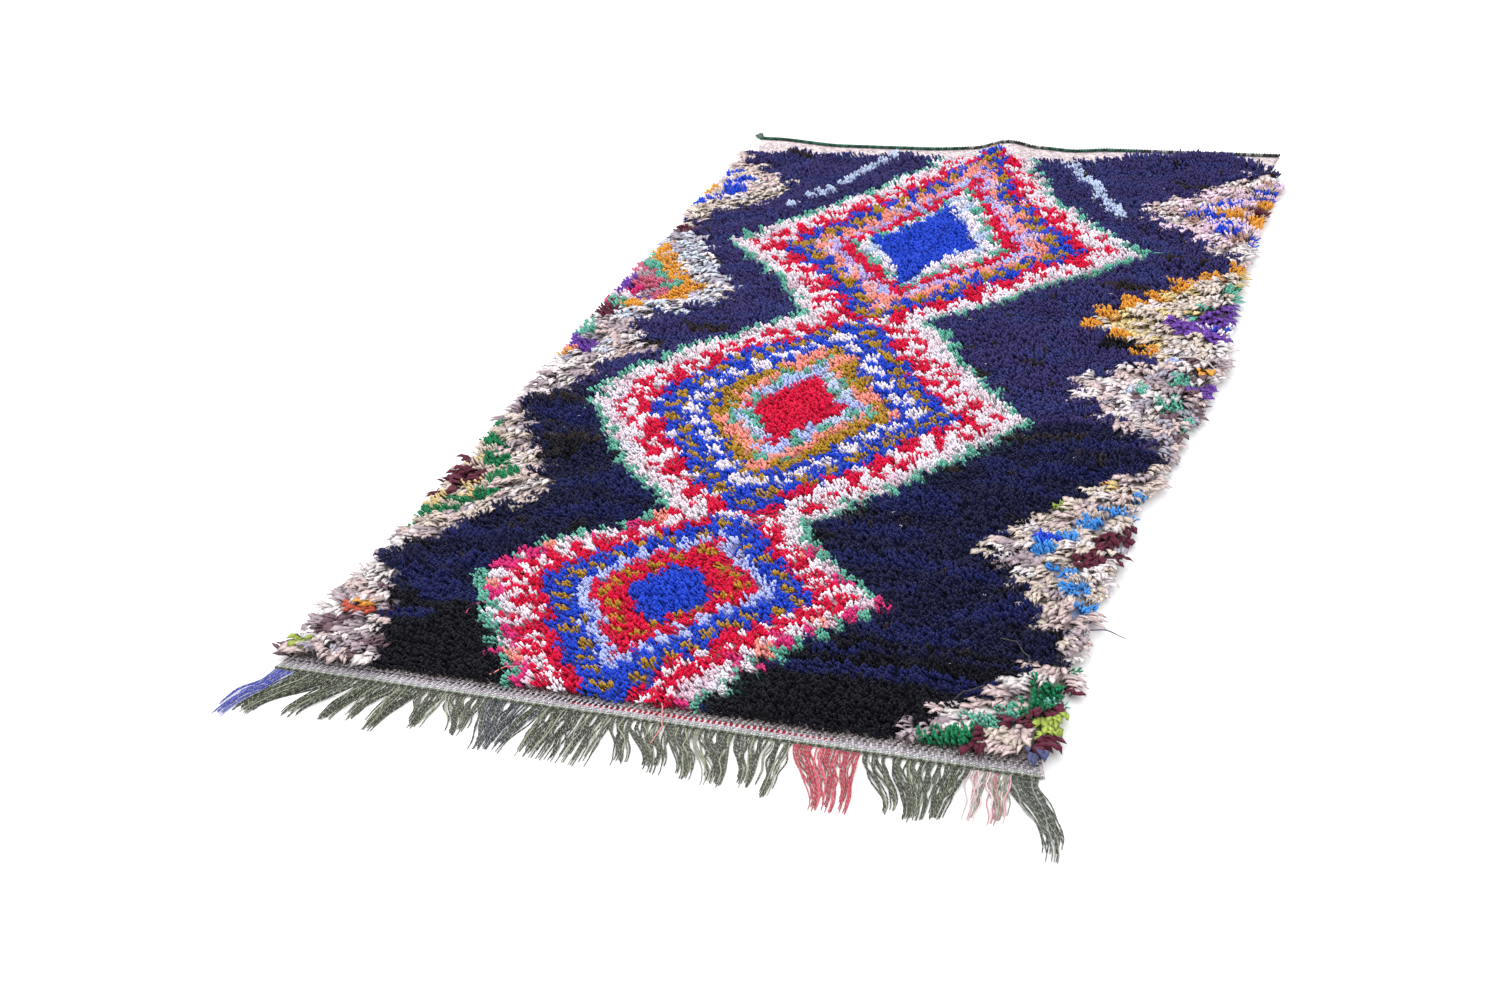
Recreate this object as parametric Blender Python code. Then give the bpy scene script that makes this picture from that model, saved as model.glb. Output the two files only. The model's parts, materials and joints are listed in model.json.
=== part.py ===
"""A boucherouite rug: rags and wool knotted as a thick pile on a flat woven ground, with a fringed end.

The rug lies spread out on the ground, its width along X and its length along Y, with the fringe at -Y.
Every piece is worked out from the middle of the fringed edge, "across" running along X and "along" running
along Y. An empty then sets the middle of the whole rug on the origin.
"""

import math
from typing import NamedTuple

import bmesh
import bpy
from mathutils import Vector, noise

# The woven ground and the pile on it, in metres
WOVEN_LENGTH = 2.155
GROUND_THICKNESS = 0.004
NEAR_BAND = 0.032  # bare weave in front of the pile, at the fringed end
FAR_BAND = 0.085  # bare weave behind the pile
PILE_DEPTH = 0.019
GAP = 0.0003  # between pieces that touch

# The long soft ridge where the rug was folded, rising towards the far end
RIDGE_RISE = 0.013
RIDGE_HALF_WIDTH = 0.075
RIDGE_FIRST_ALONG = 0.35
RIDGE_STEPS = 8

# The pile's grid, its lumps, and the parting that the old fold leaves in it
SIDE_COLUMNS = 9
PILE_ROWS = 42
PILE_OVERHANG = 0.008  # how far the pile stands out past the ground's sides
SHOULDER = 0.6  # share of the pile's depth that is left at its rim
LUMP_SIZE = 0.085
LUMP_RISE = 0.010
RAG_LUMP_SIZE = 0.055
RAG_LUMP_RISE = 0.010
RAG_START = 0.40  # past this distance from the middle the pile is wide crumpled rags
PARTING_DEPTH = 0.005
PARTING_HALF_WIDTH = 0.030

# The locks at the pile's rim
LOCK_WIDTH = 0.018
LOCK_ROOT_SHARE = 0.6  # share of its wall face that a lock's root takes up, each way
LOCK_TIP_SHARE = 0.5
LOCK_LEAN = math.radians(32)  # the pile was knotted to lean towards the fringe
SIDE_LOCK_REACH = 0.017
SIDE_LOCK_TIP_HEIGHT = 0.004
NEAR_LOCK_REACH = 0.013
NEAR_DIAMOND_REACH = 0.021
NEAR_LOCK_TIP_RISE = 0.003
DIAMOND_LEFT, DIAMOND_RIGHT = -0.17, 0.10  # where the nearest diamond runs out at the pile's front
FAR_LOCK_REACH = 0.010

# The fringe: a twined root row, and warp ends gathered into bunches
ROOT_ROW_DEPTH = 0.008
ROOT_ROW_THICKNESS = 0.0036
STRAND_PITCH = 0.0105
STRAND_WIDTH = 0.0055
STRAND_TIP_WIDTH = 0.0030
STRAND_TIP_THICKNESS = 0.0022
STRAND_TIP_PITCH = 0.0046
STRAND_STEPS = 3

# The overcast edging of the far end, and its loose end at the left corner
EDGING_RADIUS = 0.0032  # of a six-sided cord, which lies on one of its flats
EDGING_FLAT = EDGING_RADIUS * math.cos(math.pi / 6)
EDGING_TAIL_STEPS = 4
EDGING_TAIL_LENGTH = 0.034
EDGING_TAIL_ANGLE = math.radians(128)  # from +X, seen from above


class Section(NamedTuple):
    """How far the pile's locks reach to each side, at one place along the rug."""

    along: float
    left: float
    right: float


class Bunch(NamedTuple):
    """A bunch of the fringe: where its roots start and end, where its tips gather, and how long it is."""

    start: float
    end: float
    tip: float
    length: float
    gathered: bool = True


SECTIONS = (
    Section(along=0.000, left=-0.622, right=0.622),
    Section(along=0.050, left=-0.604, right=0.604),
    Section(along=0.180, left=-0.603, right=0.606),
    Section(along=0.350, left=-0.590, right=0.590),
    Section(along=0.520, left=-0.592, right=0.598),
    Section(along=0.680, left=-0.594, right=0.601),
    Section(along=0.850, left=-0.596, right=0.620),
    Section(along=1.030, left=-0.602, right=0.637),
    Section(along=1.200, left=-0.606, right=0.650),
    Section(along=1.400, left=-0.600, right=0.630),
    Section(along=1.620, left=-0.600, right=0.622),
    Section(along=1.800, left=-0.606, right=0.627),
    Section(along=1.950, left=-0.604, right=0.636),
    Section(along=2.070, left=-0.600, right=0.614),
    Section(along=WOVEN_LENGTH, left=-0.620, right=0.620),
)

BUNCHES = (
    Bunch(start=-0.588, end=-0.564, tip=-0.622, length=0.129),
    Bunch(start=-0.554, end=-0.492, tip=-0.586, length=0.114),
    Bunch(start=-0.478, end=-0.450, tip=-0.512, length=0.108),
    Bunch(start=-0.442, end=-0.415, tip=-0.455, length=0.104),
    Bunch(start=-0.407, end=-0.386, tip=-0.416, length=0.097),
    Bunch(start=-0.377, end=-0.345, tip=-0.376, length=0.116),
    Bunch(start=-0.336, end=-0.301, tip=-0.313, length=0.092),
    Bunch(start=-0.290, end=-0.244, tip=-0.244, length=0.092),
    Bunch(start=-0.228, end=-0.144, tip=-0.182, length=0.116),
    Bunch(start=-0.133, end=-0.033, tip=-0.082, length=0.118, gathered=False),
    Bunch(start=-0.022, end=-0.006, tip=0.020, length=0.106),
    Bunch(start=0.005, end=0.050, tip=0.070, length=0.112),
    Bunch(start=0.062, end=0.090, tip=0.117, length=0.110),
    Bunch(start=0.103, end=0.155, tip=0.165, length=0.117),
    Bunch(start=0.166, end=0.210, tip=0.209, length=0.114),
    Bunch(start=0.225, end=0.239, tip=0.243, length=0.125),
    Bunch(start=0.254, end=0.306, tip=0.322, length=0.134),
    Bunch(start=0.321, end=0.336, tip=0.350, length=0.133),
    Bunch(start=0.354, end=0.378, tip=0.418, length=0.118),
    Bunch(start=0.391, end=0.491, tip=0.470, length=0.126),
    Bunch(start=0.502, end=0.516, tip=0.519, length=0.107),
    Bunch(start=0.526, end=0.548, tip=0.556, length=0.111),
    Bunch(start=0.562, end=0.586, tip=0.645, length=0.161),
)


def between(start, end, share):
    """The value that lies this share of the way from start to end."""
    return start + (end - start) * share


def even_steps(start, end, steps):
    """Evenly spaced values from start to end, both of them in the list."""
    return [between(start, end, step / steps) for step in range(steps + 1)]


def smooth(share):
    """A share from 0 to 1 that starts and stops gently."""
    return share * share * (3 - 2 * share)


def reach_at(along):
    """How far the locks reach to the left and to the right, read between the sections."""
    for before, after in zip(SECTIONS, SECTIONS[1:]):
        if along <= after.along:
            share = (along - before.along) / (after.along - before.along)
            return between(before.left, after.left, share), between(before.right, after.right, share)
    return SECTIONS[-1].left, SECTIONS[-1].right


def pile_sides(along):
    """The pile's side walls, which the locks stand out from."""
    left, right = reach_at(along)
    return left + SIDE_LOCK_REACH, right - SIDE_LOCK_REACH


def ground_sides(along):
    """The selvedges of the woven ground, a little inside the pile's walls."""
    left, right = pile_sides(along)
    return left + PILE_OVERHANG, right - PILE_OVERHANG


def lie(across, along):
    """Height of the ground's underside: it lies flat but for the ridge down its middle."""
    if abs(across) >= RIDGE_HALF_WIDTH:
        return 0.0
    rise = max(0.0, (along - RIDGE_FIRST_ALONG) / (WOVEN_LENGTH - RIDGE_FIRST_ALONG))
    return RIDGE_RISE * rise * 0.5 * (1 + math.cos(math.pi * across / RIDGE_HALF_WIDTH))


def ground_top(across, along):
    """Height of the ground's upper face."""
    return lie(across, along) + GROUND_THICKNESS


def pile_underside(across, along):
    """Height of the pile's underside, just clear of the ground."""
    return ground_top(across, along) + GAP


def pile_depth(across, along):
    """Depth of the pile, lumpy as yarn and lumpier where it is rags, and parted over the old fold."""
    place = Vector((across, along, 0.0))
    depth = PILE_DEPTH + LUMP_RISE * noise.noise(place / LUMP_SIZE)
    if abs(across) > RAG_START:
        depth += RAG_LUMP_RISE * noise.noise(place / RAG_LUMP_SIZE)
    parting = max(0.0, 1 - abs(across) / PARTING_HALF_WIDTH)
    return depth - PARTING_DEPTH * smooth(parting)


def pile_top(across, along):
    """Height of the pile's upper face, which drops at the shoulders all round."""
    left, right = pile_sides(along)
    inside = min(across - left, right - across, along - NEAR_BAND, WOVEN_LENGTH - FAR_BAND - along)
    shoulder = between(SHOULDER, 1.0, smooth(min(1.0, max(0.0, inside / PILE_OVERHANG))))
    return pile_underside(across, along) + pile_depth(across, along) * shoulder


def middle_columns():
    """Lines along the rug that both the ground and the pile bend on, over the ridge."""
    return even_steps(-RIDGE_HALF_WIDTH, RIDGE_HALF_WIDTH, RIDGE_STEPS)


def ground_columns(along):
    """Where the ground's lines lie across the rug: its selvedges, and the lines over the ridge."""
    left, right = ground_sides(along)
    return [left, *middle_columns(), right]


def pile_columns(along):
    """Where the pile's lines lie across the rug: its walls, the selvedges below, and the lines between."""
    outer_left, outer_right = pile_sides(along)
    left, right = ground_sides(along)
    columns = even_steps(left, -RIDGE_HALF_WIDTH, SIDE_COLUMNS)
    columns += middle_columns()[1:-1]
    columns += even_steps(RIDGE_HALF_WIDTH, right, SIDE_COLUMNS)
    return [outer_left, *columns, outer_right]


def slab(columns_at, rows, underside, top):
    """A closed slab on a grid: columns_at gives the lines across at each row, and the two functions its faces."""
    mesh = bmesh.new()
    across_steps = len(columns_at(rows[0])) - 1
    along_steps = len(rows) - 1
    bmesh.ops.create_grid(mesh, x_segments=across_steps, y_segments=along_steps, size=0.5)
    for vertex in mesh.verts:
        column = round((vertex.co.x + 0.5) * across_steps)
        along = rows[round((vertex.co.y + 0.5) * along_steps)]
        vertex.co = (columns_at(along)[column], along, 0.0)
    raised = bmesh.ops.extrude_face_region(mesh, geom=mesh.faces[:])["geom"]
    upper = {vertex for vertex in raised if isinstance(vertex, bmesh.types.BMVert)}
    for vertex in mesh.verts:
        height = top if vertex in upper else underside
        vertex.co.z = height(vertex.co.x, vertex.co.y)
    bmesh.ops.recalc_face_normals(mesh, faces=mesh.faces[:])
    return mesh


def merge_flat_faces(mesh, faces):
    """Makes one face of those that lie in one plane, out of the given ones."""
    inside = set(faces)
    flat = [
        edge
        for edge in mesh.edges
        if len(edge.link_faces) == 2
        and inside.issuperset(edge.link_faces)
        and edge.link_faces[0].normal.dot(edge.link_faces[1].normal) > 1 - 1e-9
    ]
    bmesh.ops.dissolve_edges(mesh, edges=flat, use_verts=True)


def material(name, colour, roughness):
    """A plain cloth finish of one colour."""
    made = bpy.data.materials.new(name)
    made.use_nodes = True
    shader = made.node_tree.nodes["Principled BSDF"]
    shader.inputs["Base Color"].default_value = (*colour, 1.0)
    shader.inputs["Roughness"].default_value = roughness
    shader.inputs["Metallic"].default_value = 0.0
    made.diffuse_color = (*colour, 1.0)
    return made


def place(name, data, finish, collection, parent):
    """Puts finished data into the scene as a named object under the rug's empty."""
    data.materials.append(finish)
    made = bpy.data.objects.new(name, data)
    made.parent = parent
    collection.objects.link(made)
    return made


def mesh_object(name, mesh, finish, collection, parent):
    """Turns a bmesh into a named object."""
    data = bpy.data.meshes.new(name)
    mesh.to_mesh(data)
    mesh.free()
    return place(name, data, finish, collection, parent)


def ground_weave():
    """The flat woven cloth, in one piece from the fringe's root row to the far edging."""
    rows = [section.along for section in SECTIONS]
    return slab(ground_columns, rows, lie, ground_top)


def move_face(face, width, thickness, centre, facing):
    """Sets a face's corners round a centre, upright, with the given width and thickness, facing a way."""
    sideways = Vector((0, 0, 1)).cross(facing).normalized()
    middle = face.calc_center_median()
    for vertex in face.verts:
        offset = vertex.co - middle
        side = math.copysign(0.5, offset.dot(sideways))
        up = math.copysign(0.5, offset.z)
        vertex.co = centre + sideways * side * width + Vector((0, 0, up * thickness))


def grow(mesh, root, steps):
    """Draws a root face out through steps of (width, thickness, centre, facing)."""
    face = root
    for width, thickness, centre, facing in steps:
        face = bmesh.ops.extrude_discrete_faces(mesh, faces=[face])["faces"][0]
        move_face(face, width, thickness, centre, facing)


def lock_course(centre, outward):
    """Where a lock's tip lies: the way it leans, how far it reaches and how high its tip is."""
    uneven = noise.noise(centre / LOCK_WIDTH)
    if abs(outward.x) > abs(outward.y):
        lean = LOCK_LEAN * (1 + uneven)
        direction = Vector((outward.x * math.cos(lean), -math.sin(lean), 0.0)).normalized()
        return direction, SIDE_LOCK_REACH * (1 + 0.35 * uneven), SIDE_LOCK_TIP_HEIGHT
    if outward.y > 0:
        return outward, FAR_LOCK_REACH * (1 + 0.3 * uneven), centre.z
    on_diamond = DIAMOND_LEFT < centre.x < DIAMOND_RIGHT
    reach = NEAR_DIAMOND_REACH if on_diamond else NEAR_LOCK_REACH
    return outward, reach * (1 + 0.3 * uneven), GROUND_THICKNESS + NEAR_LOCK_TIP_RISE


def add_lock(mesh, wall):
    """A tapering lock that stands out of the middle of one wall face of the pile."""
    centre = wall.calc_center_median()
    outward = Vector((wall.normal.x, wall.normal.y, 0.0)).normalized()
    sides = sorted(edge.calc_length() for edge in wall.edges)
    width = min(LOCK_WIDTH, sides[-1] * LOCK_ROOT_SHARE)
    thickness = sides[0] * LOCK_ROOT_SHARE
    direction, reach, tip_height = lock_course(centre, outward)
    halfway = centre + direction * reach * 0.6
    halfway.z = between(centre.z, tip_height, 0.35)
    tip = centre + direction * reach
    tip.z = tip_height
    bmesh.ops.inset_individual(mesh, faces=[wall], thickness=GAP)
    move_face(wall, width, thickness, centre, outward)
    steps = (
        (width * 0.9, thickness * 0.8, halfway, outward),
        (width * LOCK_TIP_SHARE, thickness * 0.4, tip, outward),
    )
    grow(mesh, wall, steps)


def rag_pile():
    """The pile as one lumpy slab, with a lock out of every wall face of its rim."""
    rows = even_steps(NEAR_BAND, WOVEN_LENGTH - FAR_BAND, PILE_ROWS)
    mesh = slab(pile_columns, rows, pile_underside, pile_top)
    merge_flat_faces(mesh, [face for face in mesh.faces if face.normal.z < -0.9])
    walls = [face for face in mesh.faces if abs(face.normal.z) < 0.2]
    for wall in walls:
        add_lock(mesh, wall)
    return mesh


def strand_roots():
    """Each strand's root, its tip and its length, bunch by bunch from the left."""
    strands = []
    for bunch in BUNCHES:
        steps = max(1, round((bunch.end - bunch.start) / STRAND_PITCH))
        roots = even_steps(bunch.start, bunch.end, steps)
        tip_pitch = STRAND_TIP_PITCH if bunch.gathered else STRAND_PITCH
        first_tip = bunch.tip - tip_pitch * steps / 2
        for number, root in enumerate(roots):
            strands.append((root, first_tip + number * tip_pitch, bunch.length))
    return strands


def warp_fringe():
    """The fringe: a narrow root row along the near edge, and strands drawn out of it level on the ground."""
    strands = strand_roots()
    left, right = ground_sides(0.0)
    columns = [left]
    for root, _, _ in strands:
        columns += [root - STRAND_WIDTH / 2, root + STRAND_WIDTH / 2]
    columns.append(right)
    front = -GAP - ROOT_ROW_DEPTH
    mesh = slab(lambda along: columns, [front, -GAP], lambda x, y: 0.0, lambda x, y: ROOT_ROW_THICKNESS)
    ahead = Vector((0, -1, 0))
    front_faces = sorted((f for f in mesh.faces if f.normal.y < -0.5), key=lambda f: f.calc_center_median().x)
    for face, (root, tip, length) in zip(front_faces[1::2], strands):
        steps = []
        for step in range(1, STRAND_STEPS + 1):
            share = step / STRAND_STEPS
            thickness = between(ROOT_ROW_THICKNESS, STRAND_TIP_THICKNESS, share)
            centre = Vector((between(root, tip, smooth(share)), between(front, -length, share), thickness / 2))
            steps.append((between(STRAND_WIDTH, STRAND_TIP_WIDTH, share), thickness, centre, ahead))
        grow(mesh, face, steps)
    return mesh


def far_edging():
    """The overcast cord along the far edge, with its short loose end lying past the left corner."""
    behind = WOVEN_LENGTH + GAP + EDGING_RADIUS
    points = [Vector((x, behind, lie(x, WOVEN_LENGTH) + EDGING_FLAT)) for x in ground_columns(WOVEN_LENGTH)]
    corner = points[0]
    away = Vector((math.cos(EDGING_TAIL_ANGLE), math.sin(EDGING_TAIL_ANGLE), 0.0))
    tail = [corner + away * length for length in even_steps(EDGING_TAIL_LENGTH, 0.0, EDGING_TAIL_STEPS)[:-1]]
    cord = bpy.data.curves.new("far_edging", "CURVE")
    cord.dimensions = "3D"
    cord.bevel_depth = EDGING_RADIUS
    cord.bevel_resolution = 1
    cord.use_fill_caps = True
    spline = cord.splines.new("POLY")
    route = tail + points
    spline.points.add(len(route) - 1)
    for point, where in zip(spline.points, route):
        point.co = (*where, 1.0)
    return cord


def vertices_of(piece):
    """Where each vertex of a finished piece lies, before the empty is moved."""
    graph = bpy.context.evaluated_depsgraph_get()
    evaluated = piece.evaluated_get(graph)
    places = [vertex.co.copy() for vertex in evaluated.to_mesh().vertices]
    evaluated.to_mesh_clear()
    return places


def set_middle_on_origin(parent, pieces):
    """Moves the empty so that the middle of the rug's box, at its base, is the origin."""
    bpy.context.view_layer.update()
    places = [place for piece in pieces for place in vertices_of(piece)]
    middle = [(min(p[axis] for p in places) + max(p[axis] for p in places)) / 2 for axis in (0, 1)]
    parent.location = (-middle[0], -middle[1], 0.0)


def main():
    for leftover in list(bpy.data.objects):
        bpy.data.objects.remove(leftover, do_unlink=True)
    collection = bpy.data.collections.new("boucherouite_rug")
    bpy.context.scene.collection.children.link(collection)
    empty = bpy.data.objects.new("rug_middle", None)
    collection.objects.link(empty)
    wool_grey = material("ground_wool", (0.52, 0.50, 0.54), 0.95)
    indigo = material("pile_rags", (0.016, 0.014, 0.040), 0.95)
    olive = material("fringe_wool", (0.21, 0.22, 0.14), 0.92)
    dark_green = material("edging_wool", (0.035, 0.075, 0.055), 0.92)
    pieces = [
        mesh_object("ground_weave", ground_weave(), wool_grey, collection, empty),
        mesh_object("rag_pile", rag_pile(), indigo, collection, empty),
        mesh_object("warp_fringe", warp_fringe(), olive, collection, empty),
        place("far_edging", far_edging(), dark_green, collection, empty),
    ]
    set_middle_on_origin(empty, pieces)


main()
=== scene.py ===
"""A boucherouite rug, dressed: cut wool and torn rags knotted on a woven ground, laid out on a pale floor.

All sizes are metres. "Across" runs along X and "along" runs along Y, both from the middle of the fringed
edge, as in the part's own source. RugForm turns them into places in the shared frame.
"""

from __future__ import annotations

import json
import logging
import math
import random
from dataclasses import dataclass
from enum import Enum
from typing import Callable, Iterable, NamedTuple, Sequence

import bpy
import numpy as np
from mathutils import Matrix, Vector, noise

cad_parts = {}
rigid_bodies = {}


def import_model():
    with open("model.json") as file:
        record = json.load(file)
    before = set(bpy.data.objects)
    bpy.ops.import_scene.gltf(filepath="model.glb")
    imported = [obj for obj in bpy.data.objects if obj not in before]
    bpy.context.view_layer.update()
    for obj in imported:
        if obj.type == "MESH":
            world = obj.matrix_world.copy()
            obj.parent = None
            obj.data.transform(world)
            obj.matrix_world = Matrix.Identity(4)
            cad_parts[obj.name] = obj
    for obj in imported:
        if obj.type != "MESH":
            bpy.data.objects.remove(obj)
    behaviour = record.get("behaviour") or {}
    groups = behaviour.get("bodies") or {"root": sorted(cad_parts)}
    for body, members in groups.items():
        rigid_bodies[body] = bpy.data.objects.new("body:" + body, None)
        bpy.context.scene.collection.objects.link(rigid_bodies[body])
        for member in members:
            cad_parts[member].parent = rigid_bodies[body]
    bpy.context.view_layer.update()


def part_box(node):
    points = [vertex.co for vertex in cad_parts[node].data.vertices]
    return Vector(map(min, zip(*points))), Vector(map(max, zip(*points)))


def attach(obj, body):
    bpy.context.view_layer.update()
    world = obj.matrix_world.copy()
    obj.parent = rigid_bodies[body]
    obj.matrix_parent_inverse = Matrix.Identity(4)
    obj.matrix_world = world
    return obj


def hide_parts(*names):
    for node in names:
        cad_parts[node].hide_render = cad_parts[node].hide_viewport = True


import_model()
GROUND_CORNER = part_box("ground_weave")[0]
LOG = logging.getLogger("boucherouite_rug")
BAKE_MAP = "OFBake"
Point = tuple[float, float, float]
Colour = tuple[float, float, float]


class Yarn(Enum):
    """The wools and rags of the rug, each by the sRGB hex colour that it has in daylight."""

    RED = "D30E40"
    WHITE = "E9E3EC"
    PALE_PINK = "DDC4D3"
    PINK_WHITE = "E0D3DB"
    HOT_PINK = "D9347F"
    ROSE = "C5637E"
    SALMON = "EE9A8C"
    MINT = "66B09C"
    GREEN = "1E7A50"
    ROYAL = "2148C8"
    SKY = "4591DA"
    PERIWINKLE = "B4C0F0"
    LILAC = "B9ABE2"
    ICE = "BCCBE4"
    PALE_BLUE = "C3CCD8"
    GOLD = "B08A2C"
    ORANGE = "DB9A3A"
    RAG_WHITE = "D8D0D0"
    YELLOW = "D2BE86"
    CREAM = "CBBDB1"
    CREAM_PINK = "C6B2B0"
    TAN = "B08F80"
    MAROON = "5A1F34"
    MAUVE_BROWN = "6B535C"
    GREY_PINK = "A6979E"
    GREY = "A29DAB"
    SLATE = "545A80"
    PURPLE = "6A3FA0"
    LIME = "9DB04E"
    RUST = "B4503C"
    BLACK = "0E0E1A"
    NAVY = "181A3E"
    BRIGHT_NAVY = "1B2156"
    INDIGO = "352F64"
    FAR_NAVY = "31356D"
    OLIVE_BROWN = "2D2528"


class Cut(Enum):
    """What a knot of the pile is made of."""

    WOOL = "wool"
    RAG = "rag"


class Section(NamedTuple):
    """How far the pile reaches to each side, at one place along the rug."""

    along: float
    left: float
    right: float


class Seat(NamedTuple):
    """Where one repeated shape is set: its place, turn, size, colour, and which of the shapes it is."""

    place: Point
    turn: float
    size: Point
    tint: Colour
    shape: int


class Play(NamedTuple):
    """How far the copies of a shape may differ: turn and tilt in radians either way, length as a share."""

    turn: float
    tilt: float
    length: float


def linear(colour: str) -> Colour:
    """Turns an sRGB hex colour into the linear values that a shader takes.

    Args:
        colour: Six hex digits.

    Returns:
        Linear red, green and blue.
    """
    channels = [int(colour[start : start + 2], 16) / 255 for start in (0, 2, 4)]
    red, green, blue = (c / 12.92 if c <= 0.04045 else ((c + 0.055) / 1.055) ** 2.4 for c in channels)
    return red, green, blue


def between(start: float, end: float, share: float) -> float:
    """The value that lies this share of the way from start to end."""
    return start + (end - start) * share


def smooth(share: float) -> float:
    """A share, held between 0 and 1, that starts and stops gently."""
    held = min(1.0, max(0.0, share))
    return held * held * (3 - 2 * held)


def add_node(tree: bpy.types.NodeTree, kind: str, inputs: dict | None = None, **settings) -> bpy.types.Node:
    """Adds a node with its settings, its values and its links.

    Args:
        tree: The tree that gets the node.
        kind: The node's type.
        inputs: For a socket's name or number, either a value or the output that is linked to it.
        settings: The node's own properties.

    Returns:
        The new node.
    """
    node = tree.nodes.new(kind)
    for name, value in settings.items():
        setattr(node, name, value)
    for key, value in (inputs or {}).items():
        if isinstance(value, bpy.types.NodeSocket):
            tree.links.new(value, node.inputs[key])
        else:
            node.inputs[key].default_value = value
    return node


def new_finish(name: str) -> tuple[bpy.types.Material, bpy.types.NodeTree, bpy.types.Node]:
    """Starts a material, and gives it with its node tree and its shader."""
    made = bpy.data.materials.new(name)
    made.use_nodes = True
    return made, made.node_tree, made.node_tree.nodes["Principled BSDF"]


@dataclass(frozen=True)
class RugForm:
    """The rug's own shape, as its solids have it, and its place in the shared frame."""

    woven_length: float = 2.155
    ground_thickness: float = 0.004
    near_band: float = 0.032
    far_band: float = 0.085
    wall_inset: float = 0.017  # from the locks' reach to the pile's wall
    overhang: float = 0.008  # of the pile past the ground's selvedge
    ridge_rise: float = 0.013
    ridge_half_width: float = 0.075
    ridge_start: float = 0.35
    pile_depth: float = 0.019
    lump_size: float = 0.085
    lump_rise: float = 0.010
    rag_lump_size: float = 0.055
    rag_start: float = 0.40
    parting_depth: float = 0.005
    parting_half_width: float = 0.030
    near_left_selvedge: float = -0.597

    def reach(self, along: float) -> tuple[float, float]:
        """How far the pile reaches to the left and to the right."""
        for before, after in zip(SECTIONS, SECTIONS[1:]):
            if along <= after.along:
                share = (along - before.along) / (after.along - before.along)
                return between(before.left, after.left, share), between(before.right, after.right, share)
        return SECTIONS[-1].left, SECTIONS[-1].right

    def pile_sides(self, along: float) -> tuple[float, float]:
        """The pile's side walls."""
        left, right = self.reach(along)
        return left + self.wall_inset, right - self.wall_inset

    def selvedges(self, along: float) -> tuple[float, float]:
        """The sides of the woven ground."""
        left, right = self.pile_sides(along)
        return left + self.overhang, right - self.overhang

    def lie(self, across: float, along: float) -> float:
        """Height of the ground's underside: flat but for the soft ridge of an old fold."""
        if abs(across) >= self.ridge_half_width:
            return 0.0
        rise = max(0.0, (along - self.ridge_start) / (self.woven_length - self.ridge_start))
        return self.ridge_rise * rise * 0.5 * (1 + math.cos(math.pi * across / self.ridge_half_width))

    def ground_top(self, across: float, along: float) -> float:
        """Height of the ground's upper face."""
        return self.lie(across, along) + self.ground_thickness

    def depth(self, across: float, along: float) -> float:
        """Depth of the pile: lumpy, lumpier in the rags, and parted over the old fold."""
        place = Vector((across, along, 0.0))
        depth = self.pile_depth + self.lump_rise * noise.noise(place / self.lump_size)
        if abs(across) > self.rag_start:
            depth += self.lump_rise * noise.noise(place / self.rag_lump_size)
        return depth - self.parting_depth * smooth(1 - abs(across) / self.parting_half_width)

    def far_edge(self, across: float) -> float:
        """Where the woven ground ends: its far edge bows in, mostly to the left of the old fold."""
        on_left = 0.029 * smooth((across + 0.57) / 0.19) * smooth((0.03 - across) / 0.22)
        on_right = 0.012 * smooth(1 - abs(across - 0.15) / 0.08)
        return self.woven_length - on_left - on_right

    def pile_end(self, across: float) -> float:
        """Where the knots end: the last row slants out on the right, and reaches further on the old fold."""
        usual = self.woven_length - self.far_band - 0.020
        slant = 0.074 * smooth((across - 0.06) / 0.40) * smooth((0.62 - across) / 0.12)
        on_fold = 0.052 * smooth(1 - abs(across + 0.005) / 0.060)
        return usual + max(slant, on_fold)

    def place(self, across: float, along: float, height: float) -> Point:
        """A place in the shared frame."""
        return GROUND_CORNER.x - self.near_left_selvedge + across, GROUND_CORNER.y + along, height


SECTIONS = (
    Section(along=0.000, left=-0.622, right=0.622),
    Section(along=0.050, left=-0.604, right=0.604),
    Section(along=0.180, left=-0.603, right=0.606),
    Section(along=0.350, left=-0.590, right=0.590),
    Section(along=0.520, left=-0.592, right=0.598),
    Section(along=0.680, left=-0.594, right=0.601),
    Section(along=0.850, left=-0.596, right=0.620),
    Section(along=1.030, left=-0.602, right=0.637),
    Section(along=1.200, left=-0.606, right=0.650),
    Section(along=1.400, left=-0.600, right=0.630),
    Section(along=1.620, left=-0.600, right=0.622),
    Section(along=1.800, left=-0.606, right=0.627),
    Section(along=1.950, left=-0.604, right=0.636),
    Section(along=2.070, left=-0.600, right=0.614),
    Section(along=2.155, left=-0.620, right=0.620),
)
RUG = RugForm()


@dataclass(frozen=True)
class Ring:
    """One nested band of a motif, counted in from its outline."""

    width: float
    yarns: tuple[Yarn, ...]
    checked: bool = True  # the yarns follow each other row by row; otherwise they come in patches
    shift: int = 0
    cut: Cut = Cut.WOOL

    def yarn(self, across: float, along: float) -> Yarn:
        """Picks the yarn of one knot.

        Args:
            across: The knot's place across the rug.
            along: Its place along the rug.

        Returns:
            The yarn.
        """
        if self.checked:
            return self.yarns[(math.floor(along / ROW_PITCH) + self.shift) % len(self.yarns)]
        size = RAG_PATCH if self.cut is Cut.RAG else WOOL_PATCH
        chance = noise.cell(Vector((across / size + self.width * 900, along / size, 0.5)))
        return self.yarns[int(chance * len(self.yarns)) % len(self.yarns)]


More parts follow.
